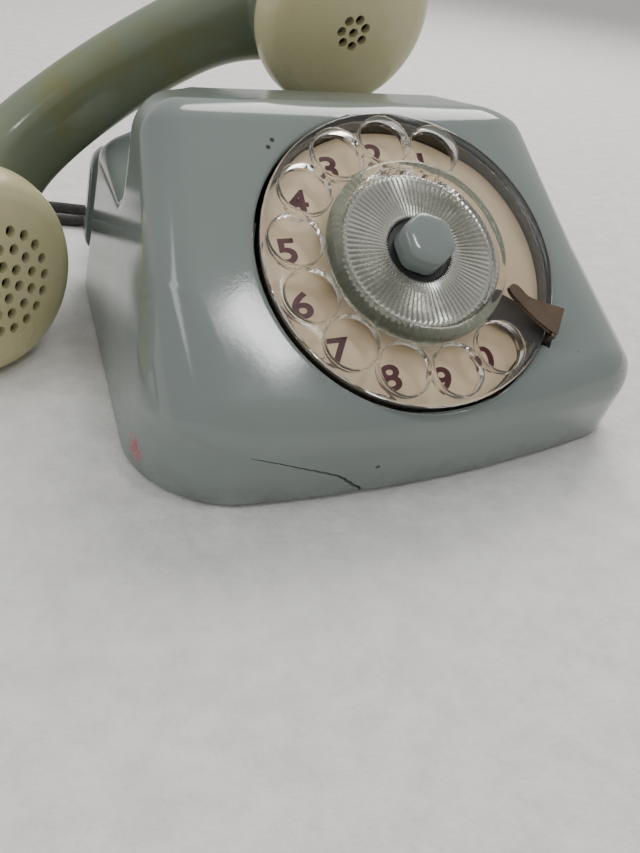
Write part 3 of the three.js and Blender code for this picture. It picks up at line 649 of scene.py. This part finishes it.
def handset_cord():
    low, high = COIL_LAYERS[:2]
    radii = (28.4, 24, 19.6)
    tracks = [(radius, low) for radius in radii] + [(radius, high) for radius in reversed(radii)]
    coil = coil_points(HANDSET_COIL, 90, 90 + 6 * 360 + 92, tracks, (33.2, 2.3), (33.2, 2.3))
    path = cord_line(HANDSET_CORD_START, coil, HANDSET_CORD_FINISH)
    cord = piece(
        "handset_cord", placed(sweep(path, CORD_RADIUS)), rough_cord, None,
        ("handset_cord_start", "handset_cord_coil", "handset_cord_finish"), "cord_dark",
    )
    to_frame((-179, 98, 2.3))
    to_frame((-179, 46, 2.3))
    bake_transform(cord)
    to_frame(path[0])
    to_frame(path)


def line_cord():
    low, middle, high = COIL_LAYERS
    radii = (30.6, 26.2, 21.8, 17.4)
    tracks = [(radius, low) for radius in radii] + [(radius, middle) for radius in reversed(radii)]
    tracks += [(21.8, high), (26.2, high)]
    coil = coil_points(LINE_COIL, -90, -90 - 10 * 360 - 150, tracks, (35.6, 2.3), (35.8, 2.3))
    path = cord_line(LINE_CORD_START, coil, LINE_CORD_FINISH)
    cord = piece(
        "line_cord", placed(sweep(path, CORD_RADIUS)), smooth_cord, "base",
        ("line_cord_start", "line_cord_coil", "line_cord_finish"), "cord_dark",
    )
    to_frame(path[0])
    to_frame(path)


# ---------------------------------------------------------------- housing


def rounded_both(a, b, radius):
    outside = np.hypot(np.maximum(radius + a, 0), np.maximum(radius + b, 0))
    return np.minimum(-radius, np.maximum(a, b)) + outside


def rounded_either(a, b, radius):
    outside = np.hypot(np.maximum(radius - a, 0), np.maximum(radius - b, 0))
    return np.maximum(radius, np.minimum(a, b)) - outside


SIDE_FOOT = 75.5
LEFT_LEAN, RIGHT_LEAN = 0.205, 0.255
SKIRT_FOOT, SKIRT_LEAN, SKIRT_BOW = -28.5, 0.245, 0.0014
TOP_HEIGHT, TOP_SLOPE, TOP_Y = 79.5, 0.131, 36
RIDGE_RADIUS = 4
# Radii of the side edges at the table corner and up at the face.
LEFT_EDGE = (26, 9)
RIGHT_EDGE = (15.5, 21)
REAR_Y = 104
HOUSING_BOTTOM = 1.5
WALL = 2.5
APERTURE_RADIUS = 41
# The skin is found along rays from a point this deep under the dial.
HEART_DEPTH = 40
CRADLE_Y = 80
PLUNGER_X = 52
DECK_Y, DECK_HEIGHT = 70, 63.8
WELL_RADIUS, WELL_HEIGHT = 31, 49.8
COVER_LOW, COVER_HIGH, COVER_BACK = 11, 47, 112
FEET = [(-50, -4), (50, -4), (-54, 88), (54, 88)]
PLUG_Y = 251


def housing_shape(x, y, z):
    """Negative inside the housing, and close to a distance, in mm."""
    face = -math.sin(FACE_TILT) * y + math.cos(FACE_TILT) * (z - DIAL_HEIGHT)
    skirt = SKIRT_FOOT - SKIRT_LEAN * z + SKIRT_BOW * x * x - y
    top = z - (TOP_HEIGHT - TOP_SLOPE * (y - TOP_Y))
    side = np.abs(x) - (SIDE_FOOT - np.where(x > 0, RIGHT_LEAN, LEFT_LEAN) * z)
    lowness = np.clip((50 - z) / 30, 0, 1)
    left = LEFT_EDGE[1] + (LEFT_EDGE[0] - LEFT_EDGE[1]) * lowness
    right = RIGHT_EDGE[1] + (RIGHT_EDGE[0] - RIGHT_EDGE[1]) * lowness
    deck = rounded_either(y - DECK_Y, z - DECK_HEIGHT, 4)
    dx = np.abs(x) - (CAP_SPACING / 2 - CAP_HEIGHT * math.sin(CAP_TILT))
    dz = z - WELL_HEIGHT
    height = dx * math.sin(CAP_TILT) + dz * math.cos(CAP_TILT)
    across = dx * math.cos(CAP_TILT) - dz * math.sin(CAP_TILT)
    well = rounded_either(WELL_RADIUS - np.hypot(across, y - CRADLE_Y), height, 5)
    shape = rounded_both(face, skirt, 9)
    shape = rounded_both(shape, top, RIDGE_RADIUS)
    shape = rounded_both(shape, side, np.where(x > 0, right, left))
    shape = rounded_both(shape, y - REAR_Y, 6)
    shape = rounded_both(shape, deck, 3)
    return rounded_both(shape, well, 3)


def shell_rows(inset, start_radius, turns, rows):
    """Rows of points on the housing's skin, from the dial opening out to the table edge."""
    heart = DIAL_CENTRE - HEART_DEPTH * FACE_OUT
    turn = np.arange(turns) * TAU / turns
    along = np.outer(np.cos(turn), [1, 0, 0]) + np.outer(np.sin(turn), FACE_UP)
    start = math.atan2(start_radius, HEART_DEPTH - inset)
    angles = np.arange(start, math.pi, math.radians(0.35))
    rays = np.cos(angles)[None, :, None] * FACE_OUT + np.sin(angles)[None, :, None] * along[:, None]
    near = np.full(rays.shape[:2], 5.0)
    far = np.full(rays.shape[:2], 200.0)
    for _ in range(32):
        middle = (near + far) / 2
        points = heart + rays * middle[..., None]
        inside = housing_shape(points[..., 0], points[..., 1], points[..., 2]) < -inset
        near = np.where(inside, middle, near)
        far = np.where(inside, far, middle)
    lines = heart + rays * near[..., None]
    evened = np.empty((rows, turns, 3))
    for k, line in enumerate(lines):
        end = int(np.argmax(line[:, 2] <= HOUSING_BOTTOM))
        share = (line[end - 1, 2] - HOUSING_BOTTOM) / (line[end - 1, 2] - line[end, 2])
        line = np.vstack([line[:end], line[end - 1] + share * (line[end] - line[end - 1])])
        length = np.concatenate([[0], np.cumsum(np.linalg.norm(np.diff(line, axis=0), axis=1))])
        wanted = np.linspace(0, length[-1], rows)
        for axis in range(3):
            evened[:, k, axis] = np.interp(wanted, length, line[:, axis])
    return evened


def dial_circle(radius, height, turns):
    turn = np.arange(turns) * TAU / turns
    ring = np.outer(np.cos(turn), [1, 0, 0]) + np.outer(np.sin(turn), FACE_UP)
    return DIAL_CENTRE + radius * ring + height * FACE_OUT


def rod(radius, z_low, z_high, x=0, y=0, sides=32):
    return moved(lathe([(0, z_low), (radius, z_low), (radius, z_high), (0, z_high)], sides), x, y)


def housing():
    turns = 400
    lip = [(0, -2.3), (0, -0.9), (0.07, -0.55), (0.25, -0.25), (0.5, -0.07)]
    rows = [dial_circle(APERTURE_RADIUS + out, height, turns) for out, height in lip]
    rows += list(shell_rows(0, APERTURE_RADIUS + 0.9, turns, 150))
    rows += list(shell_rows(WALL, APERTURE_RADIUS + 0.4, turns, 36)[::-1])
    skin = np.concatenate(rows), grid_faces(len(rows), turns, wrap_rows=True)
    shell = piece(
        "housing_shell", placed(skin), shell_grey, "base", ("housing",), "shell_grey", crease=50
    )
    holes = [rod(4, 30, 90, side * PLUNGER_X, CRADLE_Y) for side in (-1, 1)]
    cut_away(shell, placed(combine(*holes)), 50)
    notch = turned_to(prism(oblong(38, 43.4, -5, 5), -5, 3, 0.4), STOP_ANGLE)
    cut_away(shell, placed(notch, from_dial), 50)
    crack = [(-17.2, -28, -1), (-18.2, -28.5, 1), (-23, -29, 6), (-26.5, -30, 9.4), (-32.4, -30, 12.8),
             (-37.8, -30, 15.4), (-43, -30, 17.9), (-47.4, -30, 19.5), (-50.1, -30, 20.2)]
    groove(shell, crack, 0.75, 0.12, 2.0)
    groove(shell, [(-17, 43, 79), (-4, 43, 79), (9, 42, 79)], 0.45, 0.45, 1.2)


def groove(shell, line, width, end_width, depth):
    """Cuts a thin groove into the housing along a line near its skin."""
    line = catmull(line, 6)

    def slope(points):
        steps = 0.05 * np.eye(3)
        there = [housing_shape(*(points + step).T) - housing_shape(*(points - step).T) for step in steps]
        return unit(np.stack(there, axis=1))

    for _ in range(8):
        line = line - slope(line) * housing_shape(*line.T)[:, None]
    out = slope(line)
    across = unit(np.cross(out, np.gradient(line, axis=0)))
    half = np.linspace(width, end_width, len(line))[:, None]
    wobble = 0.25 * np.sin(np.arange(len(line)) * 1.9)[:, None] * half
    line = line + across * wobble
    corners = [line + out * 0.6 + across * half, line - out * depth, line + out * 0.6 - across * half]
    points = np.stack(corners, axis=1).reshape(-1, 3)
    cut_away(shell, placed((points, grid_faces(len(line), 3, ends=True))), 50)


def rear_cover():
    corners = [
        (hand * (SIDE_FOOT + 1 - lean * z), z)
        for hand, lean, z in [
            (-1, LEFT_LEAN, COVER_LOW), (1, RIGHT_LEAN, COVER_LOW),
            (1, RIGHT_LEAN, COVER_HIGH), (-1, LEFT_LEAN, COVER_HIGH),
        ]
    ]
    plate = along_y(prism(rounded_outline(corners, 7, 8), REAR_Y + 0.3, COVER_BACK, 1.2))
    cover = piece(
        "rear_cover_plate", placed(plate), shell_grey, "base", ("rear_cover",), "shell_grey"
    )
    exits = [rod(3.1, 100, 120, x, EXIT_HEIGHT) for x in CORD_EXITS.values()]
    cut_away(cover, placed(along_y(combine(*exits))))


housing()
rear_cover()


def base_and_small_parts():
    """Feet, plungers and strain reliefs."""
    foot = lathe(soften([(0, 0), (5.8, 0), (7, 1), (7, 2), (0, 2)], 0.5), 48)
    for k, (x, y) in enumerate(FEET):
        piece(
            f"rubber_foot_{k + 1}", placed(moved(foot, x, y)), rubber, "base", (f"foot_{k + 1}",),
            "rubber",
        )
    plunger = lathe(soften([(0, 38.3), (3.4, 38.3), (3.4, 58), (2.4, 59.3), (0, 59.5)], 0.6), 48)
    for side, hand in ((-1, "left"), (1, "right")):
        piece(
            f"cradle_plunger_{hand}", placed(moved(plunger, side * PLUNGER_X, CRADLE_Y)),
            black_plastic, "hook", (f"hook_plunger_{hand}",), "black_plastic",
        )
    for name, x in CORD_EXITS.items():
        profile = [(0, 0), (4.8, 0), (4.8, 1.5), (2.8, 1.5), (2.8, 4.7), (4.7, 4.7), (4.6, 7.6)]
        for rib in range(5):
            along = 8 + rib * 2.9
            wide = 4.55 - rib * 0.28
            profile += [(wide, along), (wide - 0.7, along + 0.35)]
            profile += [(wide - 0.75, along + 1.1), (wide - 0.15, along + 1.45)]
        profile += [(3.0, 22.6), (2.25, 22.6), (2.25, 21), (0, 21)]
        relief = along_y(lathe(soften(profile, 0.25), 40), x, 107.4, EXIT_HEIGHT)
        piece(
            f"{name}_strain_relief", placed(relief), rubber, "base", (f"{name}_relief",), "rubber"
        )


def plug_and_ties():
    """A plain wall plug with a ribbed grip, and the ties round the coils."""
    corners = [(-131, -10), (-108, -10), (-104, -7.5), (-104, 7.5), (-108, 10), (-131, 10)]
    body = prism(rounded_outline(corners, 3, 6), 0.1, 11.9, 1.6)
    ribs = [prism(oblong(x, x + 1.1, -10.4, 10.4), 2.2, 9.8, 0.3) for x in (-128, -125, -122, -119)]
    points, faces = lathe(soften([(0, 0), (2.9, 0), (4.3, 16), (0, 16)], 0.4), 32)
    sleeve = moved((points[:, [2, 1, 0]], faces), -146, 0, 6)
    plug = moved(combine(body, sleeve, *ribs), y=PLUG_Y)
    piece("wall_plug", placed(plug), black_plastic, "base", ("line_plug",), "black_plastic")
    blades = [prism(oblong(-105, -97, y - 0.6, y + 0.6), 4, 8, 0.2) for y in (-6, -2, 2, 6)]
    blades = moved(combine(*blades), y=PLUG_Y)
    piece("wall_plug_contacts", placed(blades), satin_brass, "base", (), "brass")
    coils = [("handset_cord", HANDSET_COIL, 6.6, 10, -45), ("line_cord", LINE_COIL, 9, 14.4, 15)]
    for name, (x, y), half, height, angle in coils:
        frame_round = oblong(24 - half - 1.2, 24 + half + 1.2, 0.1, height + 1)
        outer = np.array(rounded_outline(frame_round, 2.4, 6))
        rows = []
        for inset, across in ((0.9, -2.2), (0.9, 2.2), (0.25, 2.5), (0, 2.3), (0, -2.3), (0.25, -2.5)):
            ring = outer - np.sign(outer - outer.mean(axis=0)) * inset
            rows.append(np.column_stack([ring[:, 0], np.full(len(ring), across), ring[:, 1]]))
        band = np.concatenate(rows), grid_faces(len(rows), len(outer), wrap_rows=True)
        piece(
            f"{name}_coil_tie", placed(moved(turned_to(band, angle), x, y)), black_plastic, "base",
            (f"{name}_tie",), "black_plastic",
        )


base_and_small_parts()
plug_and_ties()
handset_cord()
line_cord()


# ---------------------------------------------------------------- dial

HOLE_PITCH_RADIUS = 31.5
# One hole for each third of a turn of the pulse pinion, which has 12 teeth to the dial's 55.
HOLE_STEP = 120 * 12 / 55
HOLE_ANGLES = [66 + HOLE_STEP * k for k in range(10)]
DIGIT_RADIUS = 31.9
DIGIT_ANGLES = [66.3 + 25.9 * k for k in range(10)]
# The fine ribs round the silvery disc and the hub.
RIBS = 84


def circle(radius, count, x=0.0, y=0.0):
    turn = np.arange(count) * TAU / count
    return np.column_stack([x + radius * np.cos(turn), y + radius * np.sin(turn)])


def flat_with_holes(outer, holes, z):
    """A flat face between an outline and the holes in it."""
    loops = [outer, *holes]
    points = np.concatenate(loops)
    edges, start = [], 0
    for loop in loops:
        edges += [(start + k, start + (k + 1) % len(loop)) for k in range(len(loop))]
        start += len(loop)
    found = delaunay_2d_cdt([Vector(point) for point in points], edges, [], 0, 1e-7)
    spots, triangles = np.array([tuple(point) for point in found[0]]), found[2]
    rims = [(loop.mean(axis=0), np.linalg.norm(loop[0] - loop.mean(axis=0))) for loop in loops]
    kept = []
    for triangle in triangles:
        middle = spots[list(triangle)].mean(axis=0)
        gaps = [np.linalg.norm(middle - centre) - radius for centre, radius in rims]
        if gaps[0] < 0 and min(gaps[1:]) > -1e-3:
            kept.append(triangle)
    return np.column_stack([spots, np.full(len(spots), z)]), kept


def finger_wheel():
    """Clear wheel: a flat disc, a thin collar round each finger hole and a raised hub ring."""
    top, bottom = 2.5, 0.6
    collar, hub, flat = 7.1, 24.1, 39.3
    hole_collar = [
        (collar, top), (7.06, 2.9), (6.95, 3.12), (6.8, 3.16), (6.68, 3.0), (6.62, 2.5),
        (6.62, -0.1), (6.68, -0.5), (6.82, -0.65), (6.98, -0.5), (7.08, -0.1), (collar, bottom),
    ]
    hub_ring = [
        (hub, top), (24.05, 4.4), (23.85, 5.3), (23.4, 5.95), (22.7, 6.2), (22.0, 6.15), (21.4, 5.8),
        (21.2, 5.2), (21.15, 4.2), (21.15, 2.8), (20.8, top), (8.5, top), (8.3, 2.3), (8.3, 0.8),
        (8.5, bottom), (hub, bottom),
    ]
    rim = [
        (flat, bottom), (39.7, 0.72), (39.93, 1.05), (40, 1.5), (39.93, 2.05), (39.7, 2.38),
        (flat, top),
    ]
    outer_sides, hole_sides = RIBS * 6, 48
    points, faces = lathe(hub_ring, outer_sides)
    rows = points.reshape(len(hub_ring), outer_sides, 3)
    ribs = 1 + 0.007 * np.cos(np.arange(outer_sides) * TAU / 6)
    rows[8:11, :, :2] *= ribs[None, :, None]
    parts = [lathe(rim, outer_sides), (rows.reshape(-1, 3), faces)]
    loops = []
    for angle in HOLE_ANGLES:
        x = HOLE_PITCH_RADIUS * math.cos(math.radians(angle))
        y = HOLE_PITCH_RADIUS * math.sin(math.radians(angle))
        parts.append(moved(lathe(hole_collar, hole_sides), x, y))
        loops.append(circle(collar, hole_sides, x, y))
    holes = [*loops, circle(hub, outer_sides)]
    for height in (top, bottom):
        parts.append(flat_with_holes(circle(flat, outer_sides), holes, height))
    piece(
        "clear_finger_wheel", placed(combine(*parts), from_dial), clear_plastic, "dial",
        ("finger_wheel",), "clear_plastic", crease=40,
    )


def wavy_rows(profile, wave):
    """Rows of points round Z through (radius, height, depth), lowered by the wave's depth."""
    turn = np.arange(len(wave)) * TAU / len(wave)
    rows = [
        np.column_stack([radius * np.cos(turn), radius * np.sin(turn), height - depth * wave])
        for radius, height, depth in profile
    ]
    return np.concatenate(rows), grid_faces(len(rows), len(wave), wrap_rows=True)


def fluted_disc():
    """Silvery disc with fine radial ribs, a plain rim and a well round the knob whose floor is painted
    black as shade.
    """
    steps = 10
    wave = np.abs(np.arange(RIBS * steps) % steps / steps * 2 - 1)
    profile = [
        (3.4, 2.8, 0), (8.4, 2.8, 0), (8.6, 3.2, 0), (8.7, 4.0, 0.1), (9.2, 4.25, 0.35), (12, 4.4, 0.6),
        (16, 4.5, 0.8), (19.2, 4.55, 0.85), (19.9, 4.6, 0.6), (20.15 + 0.25 * wave, 4.3, 0.3),
        (20.3 + 0.25 * wave, 3.8, 0.0), (20.4, 2.8, 0), (3.4, 2.7, 0),
    ]
    piece(
        "ribbed_disc", placed(wavy_rows(profile, wave), from_dial), disc_silver, "dial",
        ("fluted_disc",), "shell_grey", crease=80,
    )
    # A black ring on the well's floor: painted shade for the dark gap round the knob.
    well = washer(3.2, 8.25, 2.95, 3.1, 0.05, 64)
    piece("knob_well_painted_shade", placed(well, from_dial), black_plastic, "dial", (), "black_plastic")


def hub_plate():
    """Ribbed silvery plate under the clear hub, seen through it."""
    wave = 0.5 + 0.5 * np.cos(np.arange(RIBS * 6) * TAU / 6)
    profile = [(10, 0.1, 0), (23.6, 0.1, 0), (23.8, 0.25, 0.1), (23.6, 0.45, 0.2), (10, 0.45, 0.1)]
    piece(
        "hub_underplate", placed(wavy_rows(profile, wave), from_dial), hub_pale, "dial", (),
        "steel", crease=80,
    )


def hub_knob():
    """Six-sided knob with a softly domed top."""
    angles = [math.radians(60 * k - 84) for k in range(6)]
    corners = [(7.6 * math.cos(angle), 7.6 * math.sin(angle)) for angle in angles]
    outline = np.array(rounded_outline(corners, 2.3, 8))
    rows = []
    for scale, height in [
        (0.9, 3.3), (0.985, 3.6), (1, 4.6), (1, 8.5), (0.99, 9.1), (0.955, 9.65), (0.9, 10.0),
        (0.8, 10.25), (0.6, 10.4), (0.3, 10.5), (0.05, 10.52),
    ]:
        rows.append(np.column_stack([outline * scale, np.full(len(outline), height)]))
    knob = np.concatenate(rows), grid_faces(len(rows), len(outline), ends=True)
    piece("dial_knob", placed(knob, from_dial), shell_grey, "dial", ("hub_knob",), "shell_grey")


def number_plate():
    plate = washer(5.3, 38.7, -5.6, -4.4, 0.25, 160)
    piece(
        "dial_number_plate", placed(plate, from_dial), plate_cream, "base", ("number_plate",),
        "plate_cream",
    )
    for k, degrees in enumerate(DIGIT_ANGLES):
        text = bpy.data.curves.new("digit", "FONT")
        text.body = str((k + 1) % 10)
        text.size = 9.3
        text.align_x = "CENTER"
        text.align_y = "CENTER"
        text.extrude = 0.06
        text.offset = 0.22
        text.resolution_u = 8
        holder = linked("digit", text)
        bpy.context.view_layer.update()
        graph = bpy.context.evaluated_depsgraph_get()
        mesh = bpy.data.meshes.new_from_object(holder.evaluated_get(graph))
        points = np.array([tuple(vertex.co) for vertex in mesh.vertices])
        points -= (points.max(axis=0) + points.min(axis=0)) / 2
        points[:, 0] *= 1.25
        angle = math.radians(degrees)
        faces = [tuple(polygon.vertices) for polygon in mesh.polygons]
        digit = moved(
            (points, faces), DIGIT_RADIUS * math.cos(angle), DIGIT_RADIUS * math.sin(angle), -4.37
        )
        bpy.data.objects.remove(holder)
        piece(f"digit_{text.body}", placed(digit, from_dial), digit_maroon, "base", (), "plate_cream")


def dial_cup():
    profile = [(5.3, -7.4), (39.6, -7.4), (39.6, -1.2), (38.9, -1.2), (38.9, -6), (5.3, -6), (5.3, -7.4)]
    cup = piece(
        "dial_cup", placed(lathe(soften(profile, 0.3, True), 160), from_dial), recess_olive, "base",
        ("dial_chassis",), "black_plastic",
    )
    notch = turned_to(prism(oblong(36, 41, -5, 5), -5, 3, 0.3), STOP_ANGLE)
    cut_away(cup, placed(notch, from_dial))


def finger_stop():
    """A radial arm under the wheel, bent up past its rim into a hooked blade over it."""
    arm = prism(oblong(7, 41.8, -4.4, 4.4), -3.6, -2.4, 0.25)
    arm = turned_to(combine(arm, washer(3.7, 7.5, -3.6, -2.4, 0.2, 48)), STOP_ANGLE)
    # The arm is drawn in the darker metal, painted shade for the shadow under the wheel.
    piece("finger_stop_arm", placed(arm, from_dial), stop_arm_painted_shade, "base", (), "stop_metal")
    upright = prism(oblong(40.5, 41.8, -4.4, 4.4), -3, 4.4, 0.25)
    blade = [(41.8, 4.6), (36, 3.2), (31.2, 2.6), (28.6, 3.6), (27.2, 3.95), (26.1, 3.5), (25.7, 2.5),
             (26.6, 1.4), (30, -0.1), (36.2, -2.3), (41.8, -3.4)]
    blade = prism(catmull(blade, 5)[::-1], 3.4, 4.6, 0.25)
    claw = turned_to(combine(upright, blade), STOP_ANGLE)
    piece(
        "finger_stop_claw", placed(claw, from_dial), stop_metal, "base", ("finger_stop",), "stop_metal"
    )


finger_wheel()
fluted_disc()
hub_plate()
hub_knob()
number_plate()
dial_cup()
finger_stop()


# ---------------------------------------------------------------- handset

# Half of the grip, from its middle to the back of a cup: along the handset, behind the cap
# joints, half the thickness, half the width.
GRIP = [
    (0, 38, 8.6, 12), (22, 36.6, 8.8, 12), (40, 32.4, 9.4, 12.6), (54, 25.6, 11, 15),
    (64, 17, 13.4, 18.6), (69, 9, 14.5, 20),
]


def grip():
    stations = [(-x, *rest) for x, *rest in GRIP[:0:-1]] + GRIP
    line = catmull([(x, 0, -behind) for x, behind, _, _ in stations], 10)
    girth = catmull([(x, thick, wide) for x, _, thick, wide in stations], 10)
    tangents = unit(np.gradient(line, axis=0))
    sides = 64
    turn = np.arange(sides) * TAU / sides
    rows = []
    for middle, tangent, (_, thick, wide) in zip(line, tangents, girth):
        back = np.array([tangent[2], 0, -tangent[0]])
        across = np.sign(np.cos(turn)) * np.abs(np.cos(turn)) ** 0.7
        power = np.where(np.sin(turn) > 0, 0.95, 0.6)
        deep = np.sign(np.sin(turn)) * np.abs(np.sin(turn)) ** power
        rows.append(middle + np.outer(deep * thick, back) + np.outer(across * wide, [0, 1, 0]))
    return np.concatenate(rows), grid_faces(len(rows), sides, ends=True)


def at_both_ends(part):
    return [placed(part, from_cap(sign)) for sign in (-1, 1)]


def handset_handle():
    cup = [(0, -19), (12, -18.4), (20, -15.8), (25.6, -11), (28.4, -4.5), (28.8, -0.3), (0, -0.3)]
    cups = at_both_ends(lathe(soften(cup, 1.2), 96))
    points, faces = combine(placed(grip(), from_handset), *cups)
    mesh = bpy.data.meshes.new("handle")
    mesh.from_pydata([tuple(point) for point in points], [], faces)
    mesh.materials.append(handle_green)
    handle = linked("handset_grip", mesh)
    bpy.context.view_layer.update()
    modified(handle, "REMESH", mode="VOXEL", voxel_size=0.8 * MM)
    modified(handle, "SMOOTH", factor=0.5, iterations=9)
    hollow = [(0, -11.6), (22.5, -11.6), (24.8, -9.5), (24.8, -0.3), (36, -0.3), (36, 14), (0, 14)]
    cut_away(handle, combine(*at_both_ends(lathe(hollow, 96))), 40)
    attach(handle, "handset")
    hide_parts("handset_handle")


def handset_cap(name, node, sign, rings, hole_radius):
    """A cap with a middle hole in its grille and rings of (count, radius) round it."""
    profile = [
        (0, 8.6), (14, 8.2), (22, 6.6), (26.6, 0.25), (27, 0), (CAP_RADIUS - 0.5, 0),
        (CAP_RADIUS - 0.05, 0.5), (CAP_RADIUS, 2), (28.7, 4.2), (27.4, 6.6), (25.6, 8.3), (22.6, 9.5),
        (18, 10.3), (12, 10.75), (6, 10.95), (0, CAP_HEIGHT),
    ]
    place = from_cap(sign)
    shell = placed(lathe(soften(profile, 1.0), 128), place)
    cap = piece(name, shell, cap_cream, "handset", (node,), "cap_cream", 40)
    spots = np.concatenate([[(0, 0)], *(circle(radius, count) for count, radius in rings)])
    holes = [rod(hole_radius, 2, 14, x, y, 20) for x, y in spots]
    cut_away(cap, placed(combine(*holes), place), 40)


def capsules_and_bush():
    profile = soften([(0, -10.6), (21.5, -10.6), (23.6, -9), (23.6, 1), (21, 3.4), (0, 4)], 0.6)
    for sign, name, node, material, slot in (
        (1, "receiver_insert", "receiver_capsule", zinc_steel, "steel"),
        (-1, "transmitter_insert", "transmitter_capsule", black_plastic, "black_plastic"),
    ):
        insert = placed(lathe(profile, 72), from_cap(sign))
        piece(name, insert, material, "handset", (node,), slot)
    profile = [
        (2.5, 0), (4.2, 0), (4.2, 4), (3.6, 4.4), (3.9, 5.4), (3.4, 6.6), (3.7, 7.6), (3.2, 8.8),
        (3.4, 10), (2.9, 13), (2.5, 13), (2.5, 0),
    ]
    points, faces = lathe(soften(profile, 0.25, True), 36)
    points = np.column_stack([-97.5 - points[:, 2], points[:, 1], points[:, 0] - 2])
    bush = placed((points, faces), from_handset)
    piece("handset_bush", bush, rubber, "handset", ("handset_cord_bush",), "rubber")


handset_handle()
handset_cap("ear_cap_shell", "ear_cap", 1, [(7, 4.1)], 1.5)
handset_cap("mouth_cap_shell", "mouth_cap", -1, [(6, 4.7), (12, 9.35), (18, 14)], 1.6)
capsules_and_bush()


# ---------------------------------------------------------------- floor and light


def floor_material():
    nodes = Nodes("pale_cloth")
    soft = nodes.noise(0.07, 6, 0.62)
    patch = nodes.ramp(nodes.noise(0.11, 6, 0.7), 0.36, 0.64)
    nodes.set(Base_Color=nodes.mix(patch, (0.80, 0.795, 0.78), (0.69, 0.685, 0.67)), Roughness=0.95)
    nodes.set(Normal=nodes.bump(soft, 1.6))
    return nodes.material


def floor():
    mesh = bpy.data.meshes.new("floor")
    far = 4.0
    mesh.from_pydata([(-far, -far, 0), (far, -far, 0), (far, far, 0), (-far, far, 0)], [], [(0, 1, 2, 3)])
    mesh.materials.append(floor_material())
    obj = linked("floor", mesh)


def soft_light(name, place, target, size, power, colour=(1, 1, 1)):
    data = bpy.data.lights.new(name, "AREA")
    data.shape = "RECTANGLE"
    data.size, data.size_y = size
    data.energy = power
    data.color = colour
    light = linked(name, data)
    light.location = place
    light.rotation_euler = (Vector(target) - Vector(place)).to_track_quat("-Z", "Y").to_euler()


def studio():
    world = bpy.data.worlds.new("soft_room")
    world.use_nodes = True
    background = world.node_tree.nodes["Background"]
    background.inputs["Color"].default_value = (1.0, 0.985, 0.96, 1)
    background.inputs["Strength"].default_value = 0.6
    bpy.context.scene.world = world
    soft_light("ceiling", (0.5, 0.6, 0.85), (0.02, 0.0, 0.03), (0.7, 0.6), 11.0, (1.0, 0.97, 0.93))
    soft_light("window", (-0.75, -0.1, 0.75), (0.0, 0.0, 0.05), (0.25, 0.5), 2.0, (0.95, 0.98, 1.0))
    # The small lamp's mirror image falls beside the dial, low on its left.
    soft_light("lamp", to_frame((126, -190, 591)), to_frame((-41, -13, 42)), (0.045, 0.1), 0.42)


floor()
studio()
